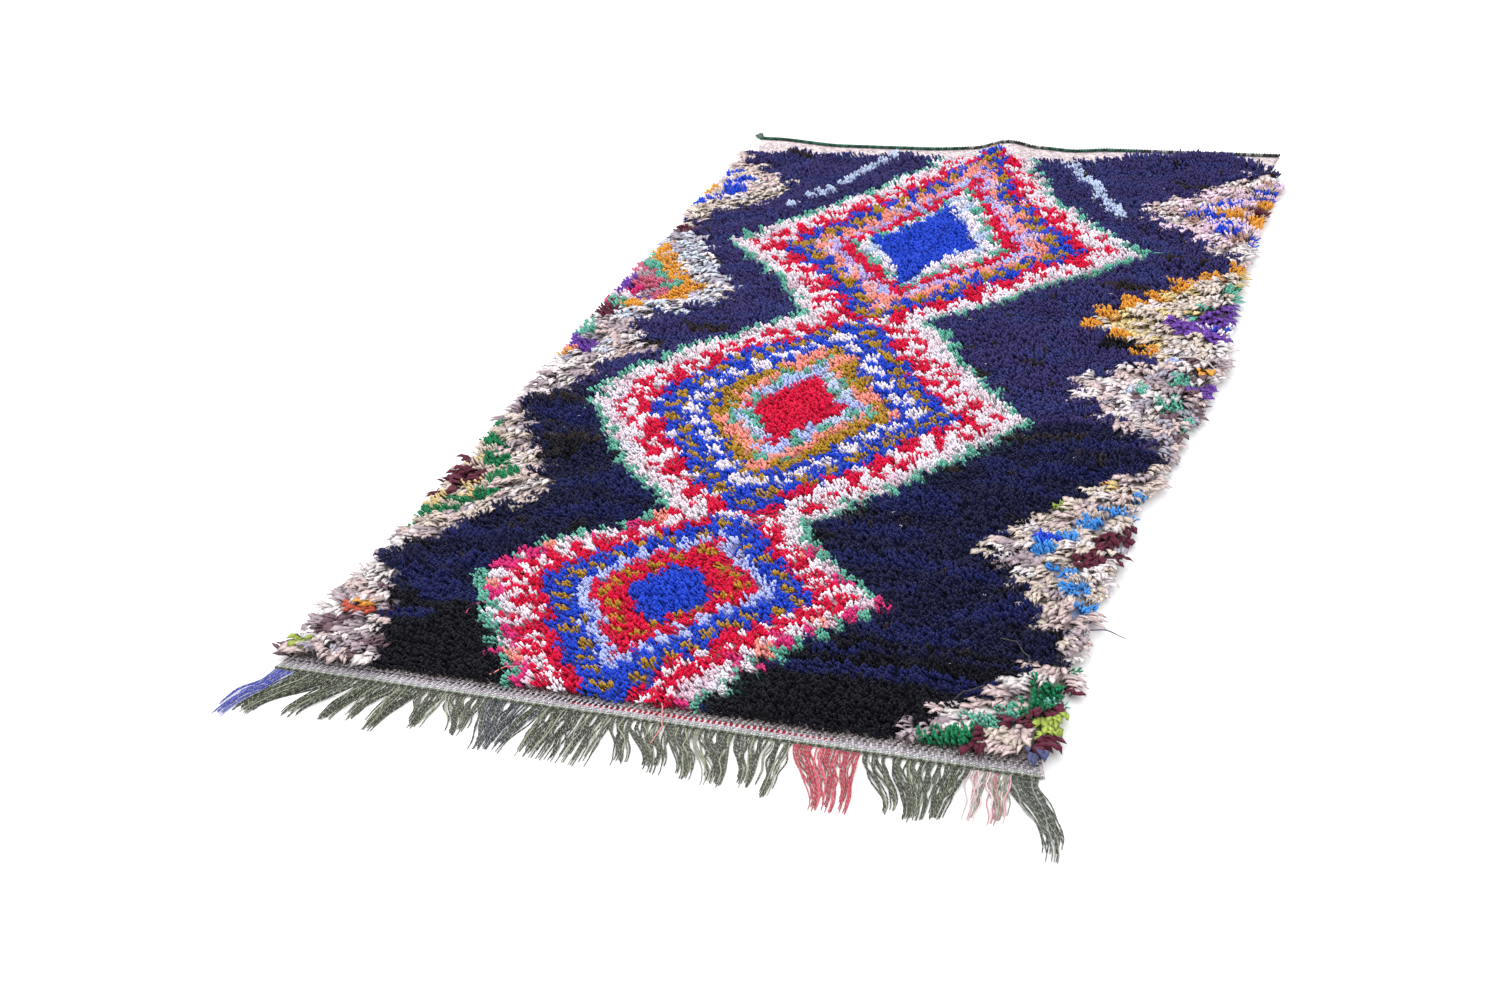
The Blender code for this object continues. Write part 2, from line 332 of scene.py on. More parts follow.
@dataclass(frozen=True)
class Flank:
    """One edge of a motif, which runs between two places and bows out from the straight line."""

    start: tuple[float, float]  # along, across
    end: tuple[float, float]
    bow: float = 0.0  # to the right, at the middle of the flank
    paces: tuple[float, float] = (1.0, 1.0)  # at the start and the end; above 1, the rings are narrower

    def across(self, along: float) -> float | None:
        """Where the edge lies at this place along the rug, or None if it doesn't reach it."""
        if not self.start[0] <= along < self.end[0]:
            return None
        share = (along - self.start[0]) / (self.end[0] - self.start[0])
        return between(self.start[1], self.end[1], share) + self.bow * 4 * share * (1 - share)

    def pace(self, along: float) -> float:
        """How quickly the rings follow each other at this place along the rug."""
        return between(*self.paces, (along - self.start[0]) / (self.end[0] - self.start[0]))


@dataclass(frozen=True)
class Star:
    """The four-pointed middle of a motif; below 1, its power draws the sides in between the points."""

    across: float
    along: float
    half_across: float
    half_along: float
    power: float
    yarn: Yarn

    def holds(self, across: float, along: float) -> bool:
        """Whether a place lies in the star."""
        aside = abs(across - self.across) / self.half_across
        ahead = abs(along - self.along) / self.half_along
        return aside**self.power + ahead**self.power < 1


@dataclass(frozen=True)
class Motif:
    """A stepped shape of nested rings, bounded by flanks on its left, on its right, or on both."""

    rings: tuple[Ring, ...]
    left: tuple[Flank, ...] = ()
    right: tuple[Flank, ...] = ()
    star: Star | None = None
    step: float = 0.0148  # length of one step of the outline along the rug
    ragged: float = 0.012  # how far the rows end before or behind each other

    def inside(self, across: float, along: float) -> float:
        """How far in from the outline a place is, measured across the rug; below 0 it is outside."""
        level = (math.floor(along / self.step) + 0.5) * self.step
        row = math.floor(along / ROW_PITCH)
        gaps = []
        for flanks, sign in ((self.left, 1), (self.right, -1)):
            reached = [flank for flank in flanks if flank.across(level) is not None]
            if flanks and not reached:
                return -1.0
            shift = self.ragged * (noise.cell(Vector((row + 0.5, 7.5 * sign, 0.5))) - 0.5)
            gaps += [(sign * (across - flank.across(level)) + shift) * flank.pace(level) for flank in reached]
        return min(gaps)

    def knot(self, across: float, along: float) -> tuple[Yarn, Cut] | None:
        """The yarn and the cut of a knot, or None if it lies outside the motif."""
        inside = self.inside(across, along)
        if inside < 0:
            return None
        if self.star and self.star.holds(across, along):
            return self.star.yarn, Cut.WOOL
        for ring in self.rings:
            if inside < ring.width:
                break
            inside -= ring.width
        return ring.yarn(across, along), ring.cut


@dataclass(frozen=True)
class Patch:
    """A lump of one colour, by its middle and its half sizes."""

    across: float
    along: float
    half_across: float
    half_along: float
    yarns: tuple[Yarn, ...]
    cut: Cut = Cut.RAG

    def holds(self, across: float, along: float) -> bool:
        """Whether a place lies in the patch."""
        aside = (across - self.across) / self.half_across
        ahead = (along - self.along) / self.half_along
        return aside * aside + ahead * ahead < 1.3


ROW_PITCH = 0.0148
LEAN = -0.47  # turn of a knot's lean from -Y, in radians: towards the fringe and a little left
WOOL_PATCH = 0.030
RAG_PATCH = 0.026
Y = Yarn
PINKS = (Y.PALE_PINK, Y.PINK_WHITE, Y.WHITE, Y.WHITE, Y.PINK_WHITE)
CREAMS = (Y.CREAM, Y.CREAM_PINK, Y.RAG_WHITE, Y.CREAM, Y.GREY_PINK)
GREY_RAGS = (Y.GREY_PINK, Y.CREAM_PINK, Y.GREY, Y.RAG_WHITE, Y.MAUVE_BROWN)
DIAMONDS = (
    Motif(
        left=(
            Flank((-0.015, -0.172), (0.290, -0.398), bow=-0.026),
            Flank((0.290, -0.398), (0.510, -0.168), bow=-0.012),
        ),
        right=(
            Flank((-0.015, 0.092), (0.311, 0.296), bow=-0.030),
            Flank((0.311, 0.296), (0.510, 0.093), bow=-0.018, paces=(1.0, 1.25)),
        ),
        star=Star(-0.058, 0.288, 0.066, 0.082, 1.25, Y.ROYAL),
        rings=(
            Ring(0.017, (Y.MINT, Y.MINT, Y.HOT_PINK, Y.MINT, Y.MINT), checked=False),
            Ring(0.030, (Y.HOT_PINK, Y.SALMON, Y.PALE_PINK, Y.WHITE, Y.WHITE, Y.HOT_PINK), checked=False),
            Ring(0.021, (Y.WHITE, Y.RED)),
            Ring(0.010, (Y.RED,)),
            Ring(0.023, (Y.WHITE, Y.RED), shift=1),
            Ring(0.018, (Y.RED,)),
            Ring(0.018, (Y.ROYAL,)),
            Ring(0.026, (Y.GOLD, Y.ROYAL)),
            Ring(0.016, (Y.ROYAL,)),
            Ring(0.025, (Y.PERIWINKLE,)),
            Ring(0.018, (Y.RED,)),
            Ring(0.026, (Y.GOLD, Y.RED), shift=1),
            Ring(1.0, (Y.RED,)),
        ),
    ),
    Motif(
        left=(
            Flank((0.510, -0.168), (0.850, -0.458), bow=-0.020),
            Flank((0.850, -0.458), (0.920, -0.456)),
            Flank((0.920, -0.456), (1.240, -0.186), bow=-0.026),
        ),
        right=(
            Flank((0.510, 0.093), (0.889, 0.364), bow=0.024),
            Flank((0.889, 0.364), (1.240, 0.097), bow=-0.006),
        ),
        star=Star(-0.060, 0.883, 0.096, 0.140, 0.85, Y.RED),
        rings=(
            Ring(0.019, (Y.MINT,)),
            Ring(0.037, PINKS, checked=False),
            Ring(0.022, (Y.RED, Y.WHITE, Y.RED, Y.RED, Y.WHITE)),
            Ring(0.018, (Y.WHITE, Y.WHITE, Y.WHITE, Y.RED), shift=1),
            Ring(0.036, (Y.RED, Y.RED, Y.RED, Y.WHITE), shift=1),
            Ring(0.016, (Y.ROYAL,)),
            Ring(0.027, (Y.GOLD, Y.GOLD, Y.ROYAL)),
            Ring(0.014, (Y.ROYAL,)),
            Ring(0.032, (Y.WHITE, Y.WHITE, Y.ROYAL), shift=1),
            Ring(0.013, (Y.ROYAL,)),
            Ring(0.036, (Y.GOLD, Y.GOLD, Y.GOLD, Y.SALMON, Y.GOLD), checked=False),
            Ring(0.022, (Y.SALMON, Y.SALMON, Y.MINT, Y.SALMON), checked=False),
            Ring(1.0, (Y.PERIWINKLE, Y.MINT, Y.PERIWINKLE, Y.ICE), checked=False),
        ),
    ),
    Motif(
        left=(
            Flank((1.240, -0.186), (1.560, -0.457), bow=0.018, paces=(1.2, 1.0)),
            Flank((1.560, -0.457), (2.110, -0.105), bow=0.042, paces=(1.0, 1.65)),
        ),
        right=(
            Flank((1.240, 0.097), (1.590, 0.430), bow=0.005, paces=(1.35, 1.0)),
            Flank((1.590, 0.430), (2.110, 0.070), bow=-0.058, paces=(0.95, 2.1)),
        ),
        star=Star(-0.025, 1.588, 0.122, 0.212, 0.80, Y.ROYAL),
        rings=(
            Ring(0.019, (Y.MINT,)),
            Ring(0.036, PINKS, checked=False),
            Ring(0.022, (Y.RED, Y.WHITE, Y.RED, Y.RED, Y.WHITE)),
            Ring(0.014, (Y.WHITE, Y.WHITE, Y.WHITE, Y.RED)),
            Ring(0.030, (Y.RED, Y.RED, Y.RED, Y.WHITE), shift=1),
            Ring(0.016, (Y.RED, Y.RED, Y.RED, Y.ROYAL)),
            Ring(0.016, (Y.ROYAL,)),
            Ring(0.030, (Y.GOLD, Y.GOLD, Y.GOLD, Y.ROYAL)),
            Ring(0.015, (Y.ROYAL, Y.ROYAL, Y.SALMON)),
            Ring(0.028, (Y.SALMON, Y.SALMON, Y.PALE_PINK, Y.SALMON), checked=False),
            Ring(0.022, (Y.LILAC, Y.PERIWINKLE, Y.LILAC), checked=False),
            Ring(0.034, (Y.RED,)),
            Ring(0.020, (Y.MINT, Y.MINT, Y.WHITE)),
            Ring(1.0, (Y.WHITE, Y.WHITE, Y.ICE), checked=False),
        ),
    ),
)
SIDE_STEP = 0.045
SIDES = (
    Motif(
        left=(Flank((1.205, 0.640), (1.295, 0.508)), Flank((1.295, 0.508), (1.440, 0.645))),
        rings=(
            Ring(0.062, (Y.PURPLE,), cut=Cut.RAG),
            Ring(0.020, (Y.WHITE,)),
            Ring(1.0, (Y.ROYAL, Y.ROYAL, Y.WHITE)),
        ),
    ),
    Motif(
        step=SIDE_STEP,
        right=(Flank((-0.015, -0.420), (0.235, -0.520)),),
        rings=(
            Ring(0.035, (Y.GREY_PINK, Y.RAG_WHITE, Y.CREAM_PINK), checked=False, cut=Cut.RAG),
            Ring(1.0, GREY_RAGS, checked=False, cut=Cut.RAG),
        ),
    ),
    Motif(
        step=SIDE_STEP,
        right=(Flank((0.285, -0.580), (0.544, -0.384)), Flank((0.544, -0.384), (0.800, -0.540))),
        rings=(
            Ring(0.064, CREAMS, checked=False, cut=Cut.RAG),
            Ring(0.044, (Y.GREEN, Y.GREEN, Y.GREEN, Y.CREAM)),
            Ring(0.016, (Y.YELLOW, Y.CREAM), checked=False),
            Ring(1.0, (Y.MAROON, Y.MAROON, Y.MAROON, Y.MAROON, Y.CREAM), cut=Cut.RAG),
        ),
    ),
    Motif(
        step=SIDE_STEP,
        right=(Flank((0.800, -0.600), (1.063, -0.407)), Flank((1.063, -0.407), (1.165, -0.500))),
        rings=(
            Ring(0.085, (Y.GREY_PINK, Y.CREAM_PINK, Y.RAG_WHITE), checked=False, cut=Cut.RAG),
            Ring(0.040, (Y.RAG_WHITE, Y.GREY, Y.PALE_BLUE), checked=False, cut=Cut.RAG),
            Ring(1.0, (Y.PURPLE,)),
        ),
    ),
    Motif(
        step=SIDE_STEP,
        right=(Flank((1.165, -0.500), (1.300, -0.314)), Flank((1.300, -0.314), (1.575, -0.520))),
        rings=(
            Ring(0.090, (Y.PALE_BLUE, Y.RAG_WHITE, Y.PALE_BLUE, Y.GREY), checked=False, cut=Cut.RAG),
            Ring(0.044, (Y.ORANGE,)),
            Ring(0.028, (Y.MINT, Y.MINT, Y.ROSE), checked=False),
            Ring(
                1.0,
                (Y.ROSE, Y.PALE_PINK, Y.GREY_PINK, Y.HOT_PINK, Y.GREY, Y.PINK_WHITE, Y.PURPLE, Y.ROSE),
                checked=False,
            ),
        ),
    ),
    Motif(
        step=SIDE_STEP,
        right=(Flank((1.620, -0.590), (1.839, -0.386)), Flank((1.839, -0.386), (2.020, -0.570))),
        rings=(
            Ring(0.088, (Y.CREAM, Y.CREAM_PINK, Y.RAG_WHITE, Y.CREAM), checked=False, cut=Cut.RAG),
            Ring(0.050, (Y.ROYAL, Y.ROYAL, Y.ROYAL, Y.PINK_WHITE)),
            Ring(0.030, (Y.PINK_WHITE, Y.CREAM), checked=False),
            Ring(1.0, (Y.ORANGE,)),
        ),
    ),
    Motif(
        step=SIDE_STEP,
        left=(Flank((-0.015, 0.352), (0.270, 0.575)),),
        rings=(
            Ring(0.052, (Y.RAG_WHITE, Y.CREAM_PINK, Y.GREY_PINK), checked=False, cut=Cut.RAG),
            Ring(0.038, (Y.GREEN, Y.MINT, Y.GREEN), checked=False),
            Ring(0.055, (Y.MAROON,), cut=Cut.RAG),
            Ring(1.0, (Y.MAROON, Y.SLATE, Y.SLATE), checked=False, cut=Cut.RAG),
        ),
    ),
    Motif(
        step=SIDE_STEP,
        left=(Flank((0.270, 0.560), (0.529, 0.377)), Flank((0.529, 0.377), (0.845, 0.600))),
        rings=(
            Ring(0.072, CREAMS, checked=False, cut=Cut.RAG),
            Ring(0.036, (Y.SKY, Y.SKY, Y.CREAM)),
            Ring(0.026, (Y.CREAM, Y.RAG_WHITE), checked=False, cut=Cut.RAG),
            Ring(1.0, (Y.MAROON, Y.MAROON, Y.MAROON, Y.CREAM), cut=Cut.RAG),
        ),
    ),
    Motif(
        step=SIDE_STEP,
        left=(Flank((0.845, 0.600), (1.044, 0.368)), Flank((1.044, 0.368), (1.155, 0.530))),
        rings=(
            Ring(0.060, (Y.RAG_WHITE, Y.CREAM_PINK, Y.GREY), checked=False, cut=Cut.RAG),
            Ring(1.0, GREY_RAGS, checked=False, cut=Cut.RAG),
        ),
    ),
    Motif(
        step=SIDE_STEP,
        left=(Flank((1.155, 0.510), (1.300, 0.335)), Flank((1.300, 0.335), (1.570, 0.600))),
        rings=(
            Ring(0.040, (Y.ORANGE,)),
            Ring(0.110, (Y.CREAM, Y.RAG_WHITE, Y.CREAM, Y.YELLOW), checked=False, cut=Cut.RAG),
            Ring(1.0, (Y.CREAM, Y.MINT, Y.CREAM_PINK, Y.CREAM, Y.RAG_WHITE), checked=False, cut=Cut.RAG),
        ),
    ),
    Motif(
        step=SIDE_STEP,
        left=(Flank((1.575, 0.600), (1.812, 0.355)), Flank((1.812, 0.355), (2.050, 0.600))),
        rings=(
            Ring(0.070, (Y.RAG_WHITE, Y.PALE_PINK, Y.CREAM_PINK), checked=False, cut=Cut.RAG),
            Ring(0.030, (Y.TAN, Y.CREAM_PINK, Y.PALE_PINK), checked=False),
            Ring(0.050, (Y.ROYAL, Y.ROYAL, Y.PALE_PINK)),
            Ring(0.040, (Y.PALE_PINK, Y.PINK_WHITE), checked=False),
            Ring(1.0, (Y.PALE_PINK, Y.PINK_WHITE, Y.TAN), checked=False),
        ),
    ),
)
PATCHES = (
    Patch(-0.570, 0.052, 0.016, 0.018, (Y.LIME,)),
    Patch(-0.517, 0.147, 0.020, 0.014, (Y.ORANGE, Y.RUST)),
    Patch(-0.560, 0.245, 0.032, 0.022, (Y.RAG_WHITE,)),
    Patch(-0.540, 0.110, 0.034, 0.030, (Y.MAUVE_BROWN, Y.GREY_PINK)),
    Patch(-0.470, 0.060, 0.026, 0.034, (Y.MAUVE_BROWN, Y.GREY_PINK)),
    Patch(-0.590, 1.035, 0.018, 0.022, (Y.SALMON, Y.ORANGE), Cut.WOOL),
    Patch(-0.590, 1.128, 0.026, 0.026, (Y.MINT, Y.MINT, Y.GREY), Cut.WOOL),
    Patch(-0.580, 1.198, 0.036, 0.026, (Y.MAROON,), Cut.WOOL),
    Patch(-0.575, 1.600, 0.040, 0.026, (Y.MAROON, Y.MAUVE_BROWN), Cut.WOOL),
    Patch(0.590, 0.092, 0.028, 0.026, (Y.LIME,)),
    Patch(0.532, 0.052, 0.028, 0.026, (Y.CREAM_PINK, Y.CREAM)),
    Patch(0.552, 0.030, 0.010, 0.010, (Y.LILAC,)),
    Patch(0.455, 0.030, 0.034, 0.018, (Y.GREEN,), Cut.WOOL),
    Patch(0.468, 0.546, 0.020, 0.018, (Y.ROYAL,), Cut.WOOL),
    Patch(0.596, 0.540, 0.024, 0.022, (Y.GREY, Y.GREY_PINK)),
    Patch(0.470, 0.650, 0.012, 0.014, (Y.LIME,), Cut.WOOL),
    Patch(0.540, 0.722, 0.012, 0.014, (Y.ORANGE, Y.YELLOW)),
    Patch(0.582, 1.085, 0.020, 0.018, (Y.MINT,), Cut.WOOL),
    Patch(0.516, 1.045, 0.018, 0.018, (Y.MINT, Y.ICE), Cut.WOOL),
    Patch(0.575, 0.998, 0.018, 0.022, (Y.MINT,), Cut.WOOL),
    Patch(0.622, 0.940, 0.020, 0.026, (Y.MINT,), Cut.WOOL),
    Patch(0.618, 1.055, 0.018, 0.022, (Y.PURPLE,)),
    Patch(0.625, 1.130, 0.020, 0.014, (Y.RUST, Y.ORANGE, Y.CREAM_PINK)),
    Patch(0.558, 1.163, 0.012, 0.018, (Y.PERIWINKLE,), Cut.WOOL),
    Patch(0.450, 1.200, 0.036, 0.016, (Y.BLACK,), Cut.WOOL),
    Patch(0.602, 1.455, 0.020, 0.020, (Y.GREEN, Y.MINT), Cut.WOOL),
    Patch(0.612, 1.862, 0.026, 0.020, (Y.ORANGE,), Cut.WOOL),
    Patch(0.552, 1.806, 0.022, 0.024, (Y.ORANGE,), Cut.WOOL),
    Patch(0.606, 1.770, 0.024, 0.024, (Y.ORANGE,), Cut.WOOL),
    Patch(0.598, 1.824, 0.026, 0.018, (Y.MAUVE_BROWN, Y.MAROON), Cut.WOOL),
)


@dataclass(frozen=True)
class PileChart:
    """Which yarn each knot is: diamonds down the middle, half diamonds at the sides, a dark field."""

    stripe_half_width: float = 0.013
    field_patch: float = 0.10  # size of the areas in which the field's wool changes
    black_end: float = 0.20

    def field(self, across: float, along: float, draw: random.Random) -> Yarn:
        """The dark wool between the motifs: black near the fringe, then navy, then indigo."""
        place = Vector((across * 0.6, along * 2.2, 3.0)) / self.field_patch
        drift = noise.noise(place)
        if along < self.black_end + 0.02 * drift:
            streak = abs(along - 0.150) < 0.016 and (across > 0.15 or across < -0.40)
            return Y.BRIGHT_NAVY if streak or drift > 0.5 else Y.BLACK
        if draw.random() < 0.010:
            return Y.OLIVE_BROWN
        if drift < -0.48 or abs(along - 0.215 - 0.02 * across) < 0.008:
            return Y.BLACK if along < 0.7 else Y.OLIVE_BROWN
        far = smooth((along - 0.65) / 0.5) + 0.3 * drift
        if far < 0.5:
            return Y.NAVY if drift < 0.15 else Y.BRIGHT_NAVY
        return Y.INDIGO if noise.noise(place * 1.7 + Vector((5.0, 1.0, 0.0))) < 0.12 else Y.FAR_NAVY

    def stripe(self, across: float, along: float) -> bool:
        """Whether a place lies on the two pale lines that run down beside the farthest diamond."""
        left = between(-0.226, -0.375, (2.045 - along) / 0.304)
        right = between(0.169, 0.345, (2.036 - along) / 0.276)
        on_left = 1.741 < along < 2.080 and abs(across - left) < self.stripe_half_width
        on_right = 1.760 < along < 2.080 and abs(across - right) < self.stripe_half_width
        gap = on_left and (1.765 < along < 1.795 or 1.865 < along < 1.885)
        return (on_left or on_right) and not gap

    def knot(self, across: float, along: float, draw: random.Random) -> tuple[Yarn, Cut]:
        """Finds the yarn and the cut of one knot.

        Args:
            across: The knot's place across the rug.
            along: Its place along the rug.
            draw: The seeded source of chance.

        Returns:
            The yarn and the cut.
        """
        for patch in PATCHES:
            if patch.holds(across, along):
                return draw.choice(patch.yarns), patch.cut
        for motif in DIAMONDS + SIDES:
            found = motif.knot(across, along)
            if found:
                return found
        if self.stripe(across, along):
            return Y.ICE, Cut.WOOL
        return self.field(across, along, draw), Cut.WOOL


@dataclass(frozen=True)
class TuftedCloth:
    """Wool yarn, spun and cut, or torn cotton: dull fibres, paler at the tips and darker at the roots with
    painted shade.

    The weave or spin is too fine to show at this distance, so the grain is drawn at about 2.5 mm.
    """

    name: str
    roughness: float = 0.92
    sheen: float = 0.06
    specular: float = 0.12
    # share of the colour left at the roots: painted shade deep in the pile
    painted_root_shade: float = 0.52
    uneven: float = 0.16  # share by which one strand is lighter or darker than the next
    mottle_and_hollow_shade: float = 0.16  # share by which the grain is lighter or darker; it follows the bump, so it also paints shade into the bump's hollows
    grain: Point = (0.0025, 0.0025, 0.0025)  # across the lean of the strands, along it, and upwards
    bump: float = 0.35
    bump_height: float = 0.0006

    def build(self) -> bpy.types.Material:
        """Makes the material, which reads the tint, strand and reach attributes of the tufts."""
        made, tree, shader = new_finish(self.name)
        tint = add_node(tree, "ShaderNodeAttribute", attribute_name="tint")
        strand = add_node(tree, "ShaderNodeAttribute", attribute_name="strand")
        reach = add_node(tree, "ShaderNodeAttribute", attribute_name="reach")
        key = add_node(
            tree, "ShaderNodeCombineXYZ", {"X": tint.outputs["Alpha"], "Y": strand.outputs["Fac"], "Z": 0.5}
        )
        chance = add_node(tree, "ShaderNodeTexWhiteNoise", {"Vector": key.outputs[0]}, noise_dimensions="3D")
        light = add_node(
            tree,
            "ShaderNodeMapRange",
            {"Value": chance.outputs["Value"], "To Min": 1 - self.uneven, "To Max": 1 + self.uneven},
        )
        # painted shade: darker towards the roots, by how far along its strand a point lies
        depth = add_node(
            tree,
            "ShaderNodeMapRange",
            {"Value": reach.outputs["Fac"], "From Max": 0.7, "To Min": self.painted_root_shade, "To Max": 1.0},
        )
        coordinates = add_node(tree, "ShaderNodeTexCoord")
        lie = add_node(
            tree,
            "ShaderNodeMapping",
            {"Vector": coordinates.outputs["Object"], "Rotation": (0.0, 0.0, LEAN), "Scale": self.grain},
            vector_type="TEXTURE",
        )
        grain = add_node(tree, "ShaderNodeTexNoise", {"Vector": lie.outputs[0], "Scale": 1.0, "Detail": 2.0})
        # the grain's tone follows its bump: uneven tone, and painted shade in the bump's hollows
        mottle_and_hollow_shade = add_node(
            tree,
            "ShaderNodeMapRange",
            {"Value": grain.outputs["Fac"], "To Min": 1 - self.mottle_and_hollow_shade, "To Max": 1 + self.mottle_and_hollow_shade},
        )
        shade = add_node(
            tree, "ShaderNodeMath", {0: light.outputs[0], 1: depth.outputs[0]}, operation="MULTIPLY"
        )
        value = add_node(
            tree, "ShaderNodeMath", {0: shade.outputs[0], 1: mottle_and_hollow_shade.outputs[0]}, operation="MULTIPLY"
        )
        colour = add_node(
            tree, "ShaderNodeHueSaturation", {"Color": tint.outputs["Color"], "Value": value.outputs[0]}
        )
        bump = add_node(
            tree,
            "ShaderNodeBump",
            {"Height": grain.outputs["Fac"], "Strength": self.bump, "Distance": self.bump_height},
        )
        tree.links.new(colour.outputs[0], shader.inputs["Base Color"])
        tree.links.new(bump.outputs[0], shader.inputs["Normal"])
        shader.inputs["Roughness"].default_value = self.roughness
        shader.inputs["Sheen Weight"].default_value = self.sheen
        shader.inputs["Specular IOR Level"].default_value = self.specular
        return made


@dataclass(frozen=True)
class WeftFacedWeave:
    """Handwoven wool ground: a tight weft in undyed whites and soft rosy greys."""

    name: str = "Weft-faced wool weave, handwoven"
    pick: tuple[float, float] = (0.0060, 0.0036)  # length and height of one weft float
    colours: tuple[str, ...] = (
        "B9ADB0",
        "C9BEBE",
        "A69AA0",
        "C2B1B2",
        "9A8D92",
        "D0C6C2",
        "B39EA2",
        "8A7D82",
    )
    roughness: float = 0.92
    sheen: float = 0.2

    def build(self) -> bpy.types.Material:
        """Makes the material, with one colour to each weft float."""
        made, tree, shader = new_finish(self.name)
        coordinates = add_node(tree, "ShaderNodeTexCoord")
        float_at = add_node(
            tree,
            "ShaderNodeVectorMath",
            {0: coordinates.outputs["Object"], 1: (*self.pick, 1.0)},
            operation="SNAP",
        )
        chance = add_node(
            tree, "ShaderNodeTexWhiteNoise", {"Vector": float_at.outputs[0]}, noise_dimensions="3D"
        )
        ramp = add_node(tree, "ShaderNodeValToRGB", {"Fac": chance.outputs["Value"]})
        ramp.color_ramp.interpolation = "CONSTANT"
        stops = ramp.color_ramp.elements
        while len(stops) < len(self.colours):
            stops.new(0.5)
        for number, colour in enumerate(self.colours):
            stops[number].position = number / len(self.colours)
            stops[number].color = (*linear(colour), 1.0)
        grain = add_node(
            tree,
            "ShaderNodeTexNoise",
            {"Vector": coordinates.outputs["Object"], "Scale": 700.0, "Detail": 2.0},
        )
        bump = add_node(
            tree, "ShaderNodeBump", {"Height": grain.outputs["Fac"], "Strength": 0.4, "Distance": 0.0005}
        )
        tree.links.new(ramp.outputs["Color"], shader.inputs["Base Color"])
        tree.links.new(bump.outputs[0], shader.inputs["Normal"])
        shader.inputs["Roughness"].default_value = self.roughness
        shader.inputs["Sheen Weight"].default_value = self.sheen
        return made


@dataclass(frozen=True)
class MarledYarn:
    """Two-ply warp yarn, one ply dyed and one undyed, which gives the eye a slanting stripe."""

    name: str = "Marled wool warp, two-ply"
    undyed: str = "A6A897"
    undyed_share: float = 0.35  # of the yarn's surface
    turns: float = 13.0  # of the twist, over one yarn's length
    fray: float = 1.3  # how far, in turns, loose fibres blur the plies' edges
    roughness: float = 0.9
    sheen: float = 0.2

    def build(self, yarns: int) -> bpy.types.Material:
        """Makes the material.

        Args:
            yarns: How many yarns share the map side by side.

        Returns:
            The material, which reads each yarn's own column of the map.
        """
        made, tree, shader = new_finish(self.name)
        tint = add_node(tree, "ShaderNodeAttribute", attribute_name="tint")
        place = add_node(tree, "ShaderNodeUVMap", uv_map=BAKE_MAP)
        parts = add_node(tree, "ShaderNodeSeparateXYZ", {0: place.outputs[0]})
        around = add_node(tree, "ShaderNodeMath", {0: parts.outputs["X"], 1: yarns}, operation="MULTIPLY")
        twist = add_node(
            tree,
            "ShaderNodeMath",
            {0: parts.outputs["Y"], 1: self.turns, 2: around.outputs[0]},
            operation="MULTIPLY_ADD",
        )
        coordinates = add_node(tree, "ShaderNodeTexCoord")
        fray = add_node(
            tree,
            "ShaderNodeTexNoise",
            {"Vector": coordinates.outputs["Object"], "Scale": 260.0, "Detail": 3.0},
        )
        shifted = add_node(
            tree,
            "ShaderNodeMath",
            {0: fray.outputs["Fac"], 1: self.fray, 2: twist.outputs[0]},
            operation="MULTIPLY_ADD",
        )
        phase = add_node(tree, "ShaderNodeMath", {0: shifted.outputs[0]}, operation="FRACT")
        ply = add_node(
            tree,
            "ShaderNodeMapRange",
            {
                "Value": phase.outputs[0],
                "From Min": 0.92 - self.undyed_share,
                "From Max": 1.04 - self.undyed_share,
            },
        )
        colour = add_node(
            tree,
            "ShaderNodeMix",
            {"Factor": ply.outputs[0], 6: tint.outputs["Color"], 7: (*linear(self.undyed), 1.0)},
            data_type="RGBA",
        )
        bump = add_node(
            tree, "ShaderNodeBump", {"Height": phase.outputs[0], "Strength": 0.5, "Distance": 0.0006}
        )
        tree.links.new(colour.outputs[2], shader.inputs["Base Color"])
        tree.links.new(bump.outputs[0], shader.inputs["Normal"])
        shader.inputs["Roughness"].default_value = self.roughness
        shader.inputs["Sheen Weight"].default_value = self.sheen
        return made


def mesh_object(name: str, mesh: bpy.types.Mesh) -> bpy.types.Object:
    """Puts a mesh into the scene as an object at the origin."""
    made = bpy.data.objects.new(name, mesh)
    bpy.context.scene.collection.objects.link(made)
    return made


def store(mesh: bpy.types.Mesh, name: str, kind: str, values: Iterable) -> None:
    """Writes an attribute of the mesh's points.

    Args:
        mesh: The mesh that gets it.
        name: The attribute's name.
        kind: Its data type.
        values: One value for each point.
    """
    field_of = {"FLOAT_VECTOR": "vector", "FLOAT_COLOR": "color"}
    made = mesh.attributes.new(name, kind, "POINT")
    number = int if kind == "INT" else float
    made.data.foreach_set(field_of.get(kind, "value"), np.array(list(values), dtype=number).ravel())


def settle(obj: bpy.types.Object) -> None:
    """Turns an object with a node modifier into a plain mesh, with the modifier gone."""
    bpy.context.view_layer.update()
    graph = bpy.context.evaluated_depsgraph_get()
    wanted = obj.evaluated_get(graph)
    mesh = bpy.data.meshes.new_from_object(wanted, preserve_all_data_layers=True, depsgraph=graph)
    obj.modifiers.clear()
    old = obj.data
    obj.data = mesh
    mesh.name = obj.name
    bpy.data.meshes.remove(old)


def set_inputs(modifier: bpy.types.NodesModifier, values: dict) -> None:
    """Sets a node modifier's inputs by their sockets' identifiers.

    Args:
        modifier: The modifier.
        values: For each input's name, its value.
    """
    for item in modifier.node_group.interface.items_tree:
        if item.in_out == "INPUT" and item.name in values:
            modifier[item.identifier] = values[item.name]


